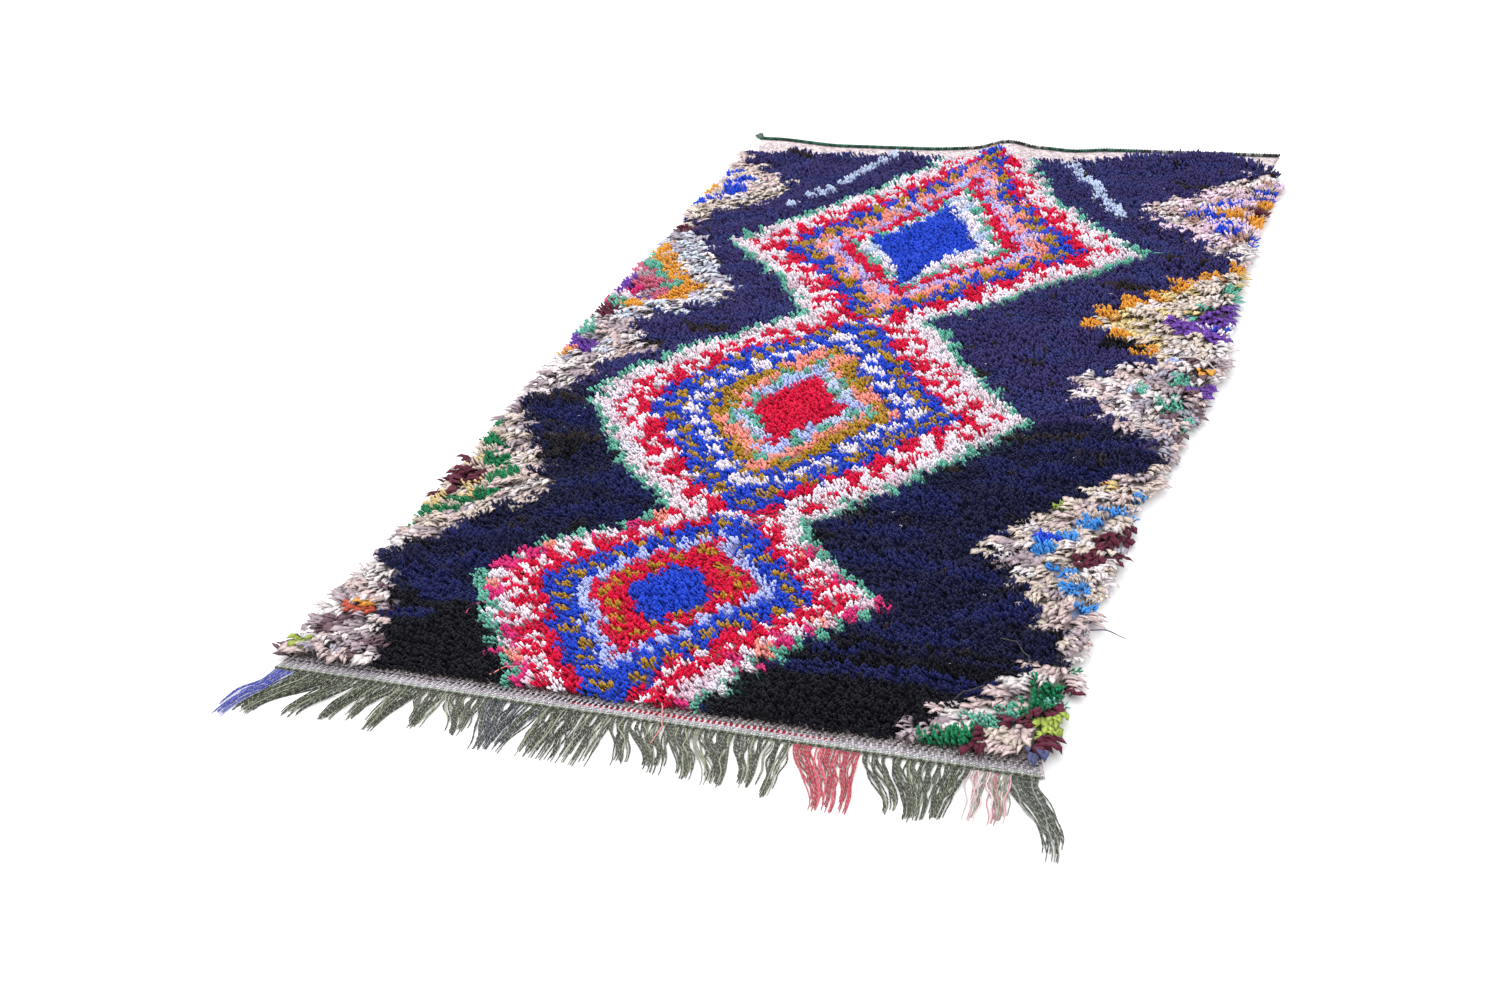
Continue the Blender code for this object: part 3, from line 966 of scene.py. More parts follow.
class Loft:
    """Gathers closed lofted solids into one small mesh, with a map that has a column for each of them."""

    def __init__(self, columns: int) -> None:
        """Starts empty, with room for this many solids on the map."""
        self.columns = columns
        self.points: list[Point] = []
        self.faces: list[tuple[int, ...]] = []
        self.map: list[tuple[float, float]] = []
        self.strand: list[float] = []
        self.reach: list[float] = []

    def add(self, rings: Sequence[Sequence[Point]], mark: float) -> None:
        """Adds one solid.

        Args:
            rings: The rings of points that it runs through; a ring of one point closes it in a tip.
            mark: A number from 0 to 1 that is the solid's own.
        """
        column = len(set(self.strand))
        start = len(self.points)
        offsets = [start + sum(len(ring) for ring in rings[:number]) for number in range(len(rings))]
        for number, ring in enumerate(rings):
            self.points += [tuple(point) for point in ring]
            self.strand += [mark] * len(ring)
            self.reach += [number / (len(rings) - 1)] * len(ring)
        sides = max(len(ring) for ring in rings)
        for number in range(len(rings) - 1):
            self._band(rings, offsets, number, sides, column)
        for number, turned in ((0, True), (len(rings) - 1, False)):
            if len(rings[number]) > 1:
                self._cap(offsets[number], sides, column, number / (len(rings) - 1), turned)

    def _spot(self, column: int, share: float, height: float) -> tuple[float, float]:
        """A place on the map, kept a little inside the solid's column."""
        return (column + 0.06 + 0.88 * share) / self.columns, 0.08 + 0.84 * height

    def _band(self, rings: Sequence, offsets: Sequence[int], number: int, sides: int, column: int) -> None:
        """Adds the faces between one ring and the next."""
        low, high = number / (len(rings) - 1), (number + 1) / (len(rings) - 1)
        first, second = rings[number], rings[number + 1]
        here, above = offsets[number], offsets[number + 1]
        for side in range(sides):
            after = (side + 1) % sides
            left, right, middle = side / sides, (side + 1) / sides, (side + 0.5) / sides
            corners = []
            if len(first) > 1:
                corners += [(here + side, left, low), (here + after, right, low)]
            else:
                corners.append((here, middle, low))
            if len(second) > 1:
                corners += [(above + after, right, high), (above + side, left, high)]
            else:
                corners.append((above, middle, high))
            self.faces.append(tuple(corner[0] for corner in corners))
            self.map += [self._spot(column, share, height) for _, share, height in corners]

    def _cap(self, offset: int, sides: int, column: int, height: float, turned: bool) -> None:
        """Closes an open end."""
        order = range(sides - 1, -1, -1) if turned else range(sides)
        self.faces.append(tuple(offset + side for side in order))
        level = 0.035 if turned else 0.965
        for side in order:
            angle = math.tau * side / sides
            place = (column + 0.5 + 0.3 * math.cos(angle)) / self.columns
            self.map.append((place, level + 0.025 * math.sin(angle)))

    def mesh(self, name: str) -> bpy.types.Mesh:
        """Makes the mesh, with its map and its strand and reach attributes."""
        made = bpy.data.meshes.new(name)
        made.from_pydata(self.points, [], self.faces)
        made.uv_layers.new(name=BAKE_MAP).data.foreach_set("uv", np.array(self.map).ravel())
        store(made, "strand", "FLOAT", self.strand)
        store(made, "reach", "FLOAT", self.reach)
        return made


def ring_round(
    centre: Point, facing: Vector, width: float, thickness: float, sides: int, turn: float
) -> list[Point]:
    """A ring of points round a centre, square to the way that it faces.

    Args:
        centre: The middle of the ring.
        facing: The direction in which the strand runs there.
        width: The ring's size to the side.
        thickness: Its other size.
        sides: How many points it has.
        turn: How far it is turned about the strand.

    Returns:
        The points in order, so that a loft along facing has its faces outward.
    """
    ahead = facing.normalized()
    side = ahead.cross(Vector((0, 0, 1)))
    side = side.normalized() if side.length > 1e-4 else Vector((1, 0, 0))
    up = side.cross(ahead)
    points = []
    for number in range(sides):
        angle = turn + math.tau * number / sides
        offset = side * (math.cos(angle) * width / 2) + up * (math.sin(angle) * thickness / 2)
        points.append(tuple(Vector(centre) + offset))
    return points


def strand_rings(
    path: Sequence[Point], sizes: Sequence[tuple[float, float]], sides: int, turn: float
) -> list:
    """Rings for one strand along a path, closed in a point at its end.

    Args:
        path: The strand's centres, from its root to its tip.
        sizes: Width and thickness at every centre but the tip.
        sides: Points to a ring.
        turn: How far the rings are turned about the strand.

    Returns:
        The rings.
    """
    rings = []
    for number, (width, thickness) in enumerate(sizes):
        before = Vector(path[max(0, number - 1)])
        facing = Vector(path[number + 1]) - before
        rings.append(ring_round(path[number], facing, width, thickness, sides, turn))
    rings.append([path[len(sizes)]])
    return rings


@dataclass(frozen=True)
class WoolTuft:
    """A knot of cut wool: ends that widen from one root, lean over towards -Y, and are cut blunt or taper."""

    strands: int = 13
    length: float = 0.0210
    spread: float = 0.0068
    girth: float = 0.0046
    lowest: float = 40.0  # degrees that an end rises above the level
    steepest: float = 76.0
    fan: float = 0.34  # how far, in radians, the ends spread to the sides
    tapered: int = 5  # how many of the ends run out into a tip
    around: float = 2.4  # radians from one end's root to the next, which fills the disc evenly
    root_height: float = 0.0015

    def mesh(self, name: str, draw: random.Random) -> bpy.types.Mesh:
        """Makes one tuft, with its chances from the seeded draw."""
        loft = Loft(self.strands)
        for number in range(self.strands):
            around = self.around * number
            out = math.sqrt((number + 0.5) / self.strands) * self.spread
            root = (math.cos(around) * out, math.sin(around) * out, self.root_height)
            rise = math.radians(draw.uniform(self.lowest, self.steepest))
            sway = draw.uniform(-self.fan, self.fan) + root[0] / self.spread * 0.3
            length = self.length * draw.uniform(0.8, 1.12)
            level = math.cos(rise) * length
            tip = (
                root[0] + math.sin(sway) * level,
                root[1] - math.cos(sway) * level,
                root[2] + math.sin(rise) * length,
            )
            size = self.girth * draw.uniform(0.8, 1.15)
            turn = draw.uniform(0, math.tau)
            facing = Vector(tip) - Vector(root)
            if number < self.strands - self.tapered:
                rings = [[root], ring_round(tip, facing, size, size, 3, turn)]
            else:
                rings = [ring_round(root, facing, size, size, 3, turn), [tip]]
            loft.add(rings, (number + draw.random()) / self.strands)
        return loft.mesh(name)


@dataclass(frozen=True)
class RagTuft:
    """A knot of torn rag: thin ragged tongues of cloth that lie over each other towards -Y."""

    strips: int = 8
    length: float = 0.031
    width: float = 0.0098
    cloth: float = 0.0011  # how thick a strip is
    crumple: float = 0.0010
    fan: float = 0.0135  # half the width over which the strips spread
    shoulder: float = 0.0150  # height of a strip near its root and at its end
    crown: float = 0.0185  # its height in between
    play: float = 0.008  # how far a strip's end may sway, and its root be shifted

    def mesh(self, name: str, draw: random.Random) -> bpy.types.Mesh:
        """Makes one tuft, with its chances from the seeded draw."""
        loft = Loft(self.strips)
        for number in range(self.strips):
            fan = between(-1, 1, (number * 3 % self.strips + 0.5) / self.strips) * self.fan
            lift = draw.uniform(0.80, 1.10)
            reach = self.length * draw.uniform(0.45, 1.05)
            sway = draw.uniform(-self.play, self.play)
            start = draw.uniform(-self.play, 0.007)
            path = [
                (fan * 0.6, start, 0.002),
                (fan * 0.9, start - reach * 0.20, self.shoulder * lift),
                (fan + sway * 0.5, start - reach * 0.60, self.crown * lift),
                (fan + sway, start - reach, self.shoulder * lift),
            ]
            wide = self.width * draw.uniform(0.6, 1.3)
            sizes = (
                (wide * 0.6, self.cloth * 2.0),
                (wide * draw.uniform(0.8, 1.1), self.cloth * 1.6),
                (wide * draw.uniform(0.8, 1.3), self.cloth),
            )
            rings = strand_rings(path, sizes, 4, draw.uniform(-0.45, 0.45))
            loft.add(self._crumpled(rings, draw), (number + draw.random()) / self.strips)
        return loft.mesh(name)

    def _crumpled(self, rings: list, draw: random.Random) -> list:
        """Moves the points of each ring up and down a little, which folds the strip lengthways."""
        folded = []
        for ring in rings:
            shift = [draw.uniform(-self.crumple, self.crumple) for _ in ring]
            folded.append([(x, y, max(0.0, z + up)) for (x, y, z), up in zip(ring, shift)])
        return folded


@dataclass(frozen=True)
class Stitch:
    """One float of twined or overcast yarn: a plump grain that lies along X."""

    length: float = 0.0085
    girth: float = 0.0042
    sides: int = 5

    def mesh(self, name: str, draw: random.Random) -> bpy.types.Mesh:
        """Makes the stitch, with its chances from the seeded draw."""
        loft = Loft(1)
        half = self.length / 2
        slant = self.girth * 0.22
        ahead = Vector((1, 0, 0))
        belly = []
        for sign in (-1, 1):
            centre = (sign * half * 0.45, sign * slant * 0.5, self.girth * 0.5)
            belly.append(ring_round(centre, ahead, self.girth, self.girth, self.sides, 0.3))
        tips = [[(sign * half, sign * slant, self.girth * 0.2)] for sign in (-1, 1)]
        loft.add([tips[0], *belly, tips[1]], draw.random())
        return loft.mesh(name)


def start_group(name: str, sockets: Sequence[tuple[str, str]]) -> tuple[bpy.types.NodeTree, Sequence]:
    """Starts a geometry node tree.

    Args:
        name: The tree's name.
        sockets: The name and the type of each input after the geometry.

    Returns:
        The tree, and the outputs that carry its inputs.
    """
    tree = bpy.data.node_groups.new(name, "GeometryNodeTree")
    for socket, kind in (("Geometry", "NodeSocketGeometry"), *sockets):
        tree.interface.new_socket(socket, in_out="INPUT", socket_type=kind)
    tree.interface.new_socket("Geometry", in_out="OUTPUT", socket_type="NodeSocketGeometry")
    return tree, add_node(tree, "NodeGroupInput").outputs


def end_group(tree: bpy.types.NodeTree, geometry: bpy.types.NodeSocket, finish: bpy.types.NodeSocket) -> None:
    """Shades the geometry smooth, gives it its finish and hands it out."""
    soft = add_node(tree, "GeometryNodeSetShadeSmooth", {"Geometry": geometry})
    dressed = add_node(tree, "GeometryNodeSetMaterial", {"Geometry": soft.outputs[0], "Material": finish})
    add_node(tree, "NodeGroupOutput", {0: dressed.outputs[0]})


def stored(tree: bpy.types.NodeTree, name: str, kind: str) -> bpy.types.NodeSocket:
    """The values of a named attribute, as the output of a node that reads it."""
    return add_node(tree, "GeometryNodeInputNamedAttribute", {"Name": name}, data_type=kind).outputs[0]


def scatter_tree() -> bpy.types.NodeTree:
    """Builds the node tree that sets a shape on every point, each with a cell of the map of its own."""
    sockets = (
        ("Shapes", "NodeSocketCollection"),
        ("Finish", "NodeSocketMaterial"),
        ("Map Cell", "NodeSocketFloat"),
        ("Turn Scatter", "NodeSocketFloat"),
        ("Tilt Scatter", "NodeSocketFloat"),
        ("Length Scatter", "NodeSocketFloat"),
        ("Seed", "NodeSocketInt"),
    )
    tree, given = start_group("set_shapes_on_points", sockets)
    shapes = add_node(
        tree,
        "GeometryNodeCollectionInfo",
        {"Collection": given["Shapes"], "Separate Children": True, "Reset Children": True},
    )
    spread = {}
    for axis, amount, shift in (("X", "Tilt Scatter", 1), ("Y", "Tilt Scatter", 2), ("Z", "Turn Scatter", 3)):
        low = add_node(tree, "ShaderNodeMath", {0: given[amount], 1: -1.0}, operation="MULTIPLY")
        seed = add_node(tree, "ShaderNodeMath", {0: given["Seed"], 1: float(shift)}, operation="ADD")
        spread[axis] = add_node(
            tree,
            "FunctionNodeRandomValue",
            {2: low.outputs[0], 3: given[amount], "Seed": seed.outputs[0]},
            data_type="FLOAT",
        ).outputs[1]
    turn = stored(tree, "turn", "FLOAT")
    whole_turn = add_node(tree, "ShaderNodeMath", {0: turn, 1: spread["Z"]}, operation="ADD")
    angles = add_node(
        tree, "ShaderNodeCombineXYZ", {"X": spread["X"], "Y": spread["Y"], "Z": whole_turn.outputs[0]}
    )
    rotation = add_node(tree, "FunctionNodeEulerToRotation", {0: angles.outputs[0]})
    shorter = add_node(tree, "ShaderNodeMath", {0: 1.0, 1: given["Length Scatter"]}, operation="SUBTRACT")
    longer = add_node(tree, "ShaderNodeMath", {0: 1.0, 1: given["Length Scatter"]}, operation="ADD")
    stretch = add_node(
        tree,
        "FunctionNodeRandomValue",
        {2: shorter.outputs[0], 3: longer.outputs[0], "Seed": given["Seed"]},
        data_type="FLOAT",
    )
    parts = add_node(tree, "ShaderNodeCombineXYZ", {"X": 1.0, "Y": stretch.outputs[1], "Z": 1.0})
    size = stored(tree, "size", "FLOAT_VECTOR")
    scale = add_node(tree, "ShaderNodeVectorMath", {0: size, 1: parts.outputs[0]}, operation="MULTIPLY")
    copies = add_node(
        tree,
        "GeometryNodeInstanceOnPoints",
        {
            "Points": given["Geometry"],
            "Instance": shapes.outputs[0],
            "Pick Instance": True,
            "Instance Index": stored(tree, "shape", "INT"),
            "Rotation": rotation.outputs[0],
            "Scale": scale.outputs[0],
        },
    )
    real = add_node(tree, "GeometryNodeRealizeInstances", {0: copies.outputs[0]})
    own = stored(tree, BAKE_MAP, "FLOAT_VECTOR")
    shrunk = add_node(tree, "ShaderNodeVectorMath", {0: own, "Scale": given["Map Cell"]}, operation="SCALE")
    cell = stored(tree, "cell", "FLOAT_VECTOR")
    on_map = add_node(tree, "ShaderNodeVectorMath", {0: shrunk.outputs[0], 1: cell}, operation="ADD")
    mapped = add_node(
        tree,
        "GeometryNodeStoreNamedAttribute",
        {"Geometry": real.outputs[0], "Name": BAKE_MAP, "Value": on_map.outputs[0]},
        data_type="FLOAT2",
        domain="CORNER",
    )
    end_group(tree, mapped.outputs[0], given["Finish"])
    return tree


class Scatterer:
    """Sets many copies of a few shapes, and leaves one plain mesh."""

    def __init__(self) -> None:
        """Builds the node tree once."""
        self.tree = scatter_tree()

    def shapes(
        self, name: str, make: Callable[[str, random.Random], bpy.types.Mesh], count: int
    ) -> bpy.types.Collection:
        """Makes a collection of a few different copies of a shape.

        Args:
            name: The collection's name.
            make: Makes one shape from a name and a seeded draw.
            count: How many shapes there are.

        Returns:
            The collection, which isn't in the scene.
        """
        draw = random.Random(name)
        made = bpy.data.collections.new(name)
        for number in range(count):
            shape_name = f"{name}_{number:02d}"
            made.objects.link(bpy.data.objects.new(shape_name, make(shape_name, draw)))
        return made

    def scatter(
        self,
        name: str,
        seats: Sequence[Seat],
        shapes: bpy.types.Collection,
        finish: bpy.types.Material,
        play: Play,
    ) -> bpy.types.Object:
        """Sets a shape on each seat.

        Args:
            name: The new piece's name.
            seats: Where the shapes go.
            shapes: The shapes to choose from.
            finish: The material of all of them.
            play: How far the shapes may differ.

        Returns:
            The piece, as a plain mesh.
        """
        mesh = bpy.data.meshes.new(name)
        mesh.from_pydata([seat.place for seat in seats], [], [])
        side = math.ceil(math.sqrt(len(seats)))
        draw = random.Random(name)
        store(mesh, "turn", "FLOAT", (seat.turn for seat in seats))
        store(mesh, "size", "FLOAT_VECTOR", (seat.size for seat in seats))
        store(mesh, "shape", "INT", (seat.shape for seat in seats))
        store(mesh, "tint", "FLOAT_COLOR", ((*seat.tint, draw.random()) for seat in seats))
        cells = ((number % side / side, number // side / side, 0.0) for number in range(len(seats)))
        store(mesh, "cell", "FLOAT_VECTOR", cells)
        made = mesh_object(name, mesh)
        modifier = made.modifiers.new("shapes", "NODES")
        modifier.node_group = self.tree
        values = {
            "Shapes": shapes,
            "Finish": finish,
            "Map Cell": 1 / side,
            "Turn Scatter": play.turn,
            "Tilt Scatter": play.tilt,
            "Length Scatter": play.length,
            "Seed": len(seats),
        }
        set_inputs(modifier, values)
        settle(made)
        for spare in ("turn", "size", "shape", "cell"):
            if spare in made.data.attributes:
                made.data.attributes.remove(made.data.attributes[spare])
        return made

    def clear(self, collection: bpy.types.Collection) -> None:
        """Removes the shapes once they are used."""
        for shape in list(collection.objects):
            bpy.data.objects.remove(shape)
        bpy.data.collections.remove(collection)


def sweep_tree() -> bpy.types.NodeTree:
    """Builds the node tree that turns wires into round yarns, each with its own girth."""
    tree, given = start_group("sweep_yarns", (("Sides", "NodeSocketInt"), ("Finish", "NodeSocketMaterial")))
    line = add_node(tree, "GeometryNodeMeshToCurve", {"Mesh": given["Geometry"]})
    round_line = add_node(
        tree, "GeometryNodeCurvePrimitiveCircle", {"Resolution": given["Sides"], "Radius": 1.0}, mode="RADIUS"
    )
    number = add_node(tree, "GeometryNodeInputIndex")
    marked = add_node(
        tree,
        "GeometryNodeStoreNamedAttribute",
        {"Geometry": round_line.outputs[0], "Name": "side", "Value": number.outputs[0]},
        data_type="INT",
        domain="POINT",
    )
    solid = add_node(
        tree,
        "GeometryNodeCurveToMesh",
        {
            "Curve": line.outputs[0],
            "Profile Curve": marked.outputs[0],
            "Scale": stored(tree, "girth", "FLOAT"),
            "Fill Caps": True,
        },
    )
    end_group(tree, solid.outputs[0], given["Finish"])
    return tree


class YarnPath(NamedTuple):
    """One loose yarn: the points that it runs through, its radius at each end, and its colour."""

    points: list[Point]
    radius: float
    tip_radius: float
    tint: Colour


class Sweeper:
    """Turns paths into round yarns, and leaves one plain mesh with a map column for each."""

    sides = 5

    def __init__(self) -> None:
        """Builds the node tree once."""
        self.tree = sweep_tree()

    def sweep(self, name: str, yarns: Sequence[YarnPath], finish: bpy.types.Material) -> bpy.types.Object:
        """Makes one piece of many yarns.

        Args:
            name: The piece's name.
            yarns: The paths.
            finish: The material.

        Returns:
            The piece, as a plain mesh.
        """
        mesh = bpy.data.meshes.new(name)
        points, edges, girths, shares, tints, numbers = [], [], [], [], [], []
        for number, yarn in enumerate(yarns):
            last = len(yarn.points) - 1
            edges += [(len(points) + step, len(points) + step + 1) for step in range(last)]
            points += yarn.points
            shares += [step / last for step in range(last + 1)]
            girths += [between(yarn.radius, yarn.tip_radius, (step / last) ** 3) for step in range(last + 1)]
            tints += [(*yarn.tint, 1.0)] * (last + 1)
            numbers += [number] * (last + 1)
        mesh.from_pydata(points, edges, [])
        store(mesh, "girth", "FLOAT", girths)
        store(mesh, "share", "FLOAT", shares)
        store(mesh, "tint", "FLOAT_COLOR", tints)
        store(mesh, "yarn", "FLOAT", numbers)
        made = mesh_object(name, mesh)
        modifier = made.modifiers.new("yarns", "NODES")
        modifier.node_group = self.tree
        set_inputs(modifier, {"Sides": self.sides, "Finish": finish})
        settle(made)
        self._unwrap(made.data, len(yarns))
        return made

    def _unwrap(self, mesh: bpy.types.Mesh, count: int) -> None:
        """Lays each yarn out flat in its own column of the map, cut along one line of its side."""

        def values(name: str) -> np.ndarray:
            found = np.zeros(len(mesh.vertices))
            mesh.attributes[name].data.foreach_get("value", found)
            return found

        side, share, yarn = values("side"), values("share"), values("yarn")
        layer = mesh.uv_layers.new(name=BAKE_MAP).data
        for face in mesh.polygons:
            corners = list(face.vertices)
            if len(corners) > 4:
                level = 0.985 if share[corners[0]] > 0.5 else 0.015
                for loop, corner in zip(face.loop_indices, corners):
                    angle = math.tau * side[corner] / self.sides
                    spot = yarn[corner] + 0.5 + 0.3 * math.cos(angle)
                    layer[loop].uv = (spot / count, level + 0.012 * math.sin(angle))
                continue
            wraps = max(side[c] for c in corners) - min(side[c] for c in corners) > 1.5
            for loop, corner in zip(face.loop_indices, corners):
                around = self.sides if wraps and side[corner] == 0 else side[corner]
                column = yarn[corner] + 0.05 + 0.9 * around / self.sides
                layer[loop].uv = (column / count, 0.04 + 0.92 * share[corner])


class Knot(NamedTuple):
    """One knot of the pile: where it is tied, its yarn and its cut."""

    across: float
    along: float
    yarn: Yarn
    cut: Cut


@dataclass
class KnottedPile:
    """The pile: wool and rag knots in rows on the ground, and the felted roots under them."""

    column_pitch: float = 0.0124
    seen_shift: tuple[float, float] = (-0.0038, -0.0084)  # from a knot's root to where its colour shows
    jitter: float = 0.0018
    edge_inset: float = 0.004
    rim: float = 0.045  # how wide the band is in which the outer knots turn outwards
    wool_pieces: int = 5
    bed_share: float = 0.45  # height of the felted roots, as a share of the pile's depth
    bed_rim: float = 0.4  # height at the roots' rim, as a share of that height
    bed_grid: tuple[int, int] = (56, 72)  # faces across and along
    bed_inset: float = 0.012
    painted_bed_shade: float = 0.55  # share of the knots' colour kept: painted shade under the tufts
    fold_turn: float = 0.55  # radians by which the knots part over the old fold
    left_turn: float = 0.65  # radians by which the knots of the left rim turn outwards
    right_turn: float = 1.55
    shape_count: int = 8  # different tufts of each cut
    wool_play: Play = Play(turn=0.42, tilt=0.14, length=0.16)
    rag_play: Play = Play(turn=0.8, tilt=0.18, length=0.2)

    def knots(self) -> list[Knot]:
        """Places every knot and charts its yarn."""
        draw = random.Random(7)
        chart = PileChart()
        found = []
        rows = round((RUG.woven_length - RUG.near_band - 0.020) / ROW_PITCH)
        for row in range(rows + 1):
            along = RUG.near_band + 0.004 + row * ROW_PITCH
            left, right = RUG.pile_sides(along)
            columns = round((right - left - 2 * self.edge_inset) / self.column_pitch)
            for column in range(columns + 1):
                across = between(left + self.edge_inset, right - self.edge_inset, column / columns)
                if along > RUG.pile_end(across):
                    continue
                yarn, cut = chart.knot(across + self.seen_shift[0], along + self.seen_shift[1], draw)
                if cut is Cut.RAG and (row + column) % 2:
                    continue
                half_step = 0.25 * self.column_pitch * (1 if row % 2 else -1)
                shift = draw.uniform(-self.jitter, self.jitter)
                side_shift = half_step if 0 < column < columns else 0.0
                tied = along + draw.uniform(-0.002, 0.002)
                found.append(Knot(across + shift + side_shift, tied, yarn, cut))
        return found

    def _turn(self, across: float, along: float) -> float:
        """How a knot's lean is turned: split over the old fold, and outwards at the sides."""
        left, right = RUG.pile_sides(along)
        fold = self.fold_turn * math.copysign(1, across) * smooth(1 - abs(across) / 0.05)
        to_left = smooth(1 - (across - left) / self.rim)
        to_right = smooth(1 - (right - across) / self.rim)
        return LEAN + fold - self.left_turn * to_left + self.right_turn * to_right

    def seat(self, knot: Knot, draw: random.Random) -> Seat:
        """The seat of one knot, with one of the tufts by chance."""
        across, along, yarn, _ = knot
        shape = draw.randrange(self.shape_count)
        left, right = RUG.pile_sides(along)
        inside = min(across - left, right - across)
        height = RUG.depth(across, along) / RUG.pile_depth * between(0.72, 1.0, smooth(inside / 0.02))
        value = draw.uniform(0.9, 1.1)
        red, green, blue = (min(1.0, channel * value) for channel in linear(yarn.value))
        tint = (red, green * draw.uniform(0.97, 1.0), blue)
        place = RUG.place(across, along, RUG.ground_top(across, along) + 0.0004)
        return Seat(place, self._turn(across, along), (1.0, 1.0, height), tint, shape)

    def bed(self) -> bpy.types.Object:
        """The felted roots: a low closed slab in the knots' own colours, darkened as painted shade under the
        tufts.
        """
        columns, rows = self.bed_grid
        inset = self.bed_inset
        first, last = RUG.near_band + inset, RUG.woven_length - RUG.far_band - inset
        chart = PileChart()
        draw = random.Random(11)
        points, shades = [], []
        for level in (0, 1):
            for row in range(rows + 1):
                along = between(first, last, row / rows)
                left, right = RUG.pile_sides(along)
                for column in range(columns + 1):
                    across = between(left + inset, right - inset, column / columns)
                    base = RUG.ground_top(across, along) + 0.0003
                    rise = self.bed_share * RUG.depth(across, along) * level
                    rim = column in (0, columns) or row in (0, rows)
                    points.append(RUG.place(across, along, base + rise * (self.bed_rim if rim else 1.0)))
                    yarn, _ = chart.knot(across + self.seen_shift[0], along + self.seen_shift[1], draw)
                    # the knots' colours, darkened as painted shade
                    shades.append((*(self.painted_bed_shade * c for c in linear(yarn.value)), draw.random()))
        made = mesh_object("pile_roots", slab_mesh("pile_roots", points, columns, rows))
        store(made.data, "tint", "FLOAT_COLOR", shades)
        store(made.data, "strand", "FLOAT", (draw.random() for _ in points))
        store(made.data, "reach", "FLOAT", (1.0 for _ in points))
        return made

    def build(self, scatterer: Scatterer) -> list[bpy.types.Object]:
        """Makes the pile's pieces.

        Args:
            scatterer: Sets the knots.

        Returns:
            The pieces: roots, wool in strips along the rug, and rags on each side.
        """
        # painted shade darkens both finishes towards the knots' roots
        wool = TuftedCloth("Wool pile yarn, spun and cut").build()
        rag = TuftedCloth(
            "Cotton rag strips, torn",
            painted_root_shade=0.40,
            uneven=0.20,
            grain=(0.0022, 0.0160, 0.0050),
            # strong mottle: uneven tint, and painted shade in the creases of the crumpled rag
            mottle_and_hollow_shade=0.36,
            bump=0.9,
            bump_height=0.0015,
        ).build()
        knots = self.knots()
        draw = random.Random(23)
        wool_shapes = scatterer.shapes("wool_tuft", WoolTuft().mesh, self.shape_count)
        rag_shapes = scatterer.shapes("rag_tuft", RagTuft().mesh, self.shape_count)
        rags = [knot for knot in knots if knot.cut is Cut.RAG]
        wool_seats = [self.seat(knot, draw) for knot in knots if knot.cut is Cut.WOOL]
        left_rags = [self.seat(knot, draw) for knot in rags if knot.across < 0]
        right_rags = [self.seat(knot, draw) for knot in rags if knot.across >= 0]
        pieces = [self.bed()]
        pieces[0].data.materials.append(wool)
        share = math.ceil(len(wool_seats) / self.wool_pieces)
        for number in range(self.wool_pieces):
            name = f"wool_pile_{number + 1}"
            seats = wool_seats[number * share : (number + 1) * share]
            pieces.append(scatterer.scatter(name, seats, wool_shapes, wool, self.wool_play))
        for name, seats in (("rag_pile_left", left_rags), ("rag_pile_right", right_rags)):
            pieces.append(scatterer.scatter(name, seats, rag_shapes, rag, self.rag_play))
        scatterer.clear(wool_shapes)
        scatterer.clear(rag_shapes)
        for piece in pieces:
            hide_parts("rag_pile")
        return pieces


def slab_mesh(name: str, points: Sequence[Point], columns: int, rows: int) -> bpy.types.Mesh:
    """A closed slab on a grid.

    Args:
        name: The mesh's name.
        points: The lower grid's points and then the upper grid's, row by row.
        columns: Faces across.
        rows: Faces along.

    Returns:
        The mesh, with its faces outward and a map on which the two sides lie next to each other.
    """
    wide = columns + 1
    upper = wide * (rows + 1)
    faces, spots = [], []

    def spot(index: int, grow: float, shift: float) -> tuple[float, float]:
        flat = index % upper
        across, along = flat % wide / columns, flat // wide / rows
        return shift + 0.25 + (across - 0.5) * 0.46 * grow, 0.5 + (along - 0.5) * 0.94 * grow

    for row in range(rows):
        for column in range(columns):
            start = row * wide + column
            low = (start, start + wide, start + wide + 1, start + 1)
            faces.append(low)
            spots += [spot(index, 1.0, 0.5) for index in low]
            high = tuple(index + upper for index in (start, start + 1, start + wide + 1, start + wide))
            faces.append(high)
            spots += [spot(index, 1.0, 0.0) for index in high]
    front = list(range(wide))
    right = [row * wide + columns for row in range(1, rows + 1)]
    back = [rows * wide + column for column in range(columns - 1, -1, -1)]
    left = [row * wide for row in range(rows - 1, -1, -1)]
    rim = front + right + back + left
    for here, after in zip(rim, rim[1:]):
        faces.append((here, after, after + upper, here + upper))
        spots += [spot(here, 1.03, 0.0), spot(after, 1.03, 0.0), spot(after, 1.0, 0.0), spot(here, 1.0, 0.0)]
    made = bpy.data.meshes.new(name)
    made.from_pydata(points, [], faces)
    made.uv_layers.new(name=BAKE_MAP).data.foreach_set("uv", np.array(spots).ravel())
    made.polygons.foreach_set("use_smooth", [True] * len(faces))
    return made


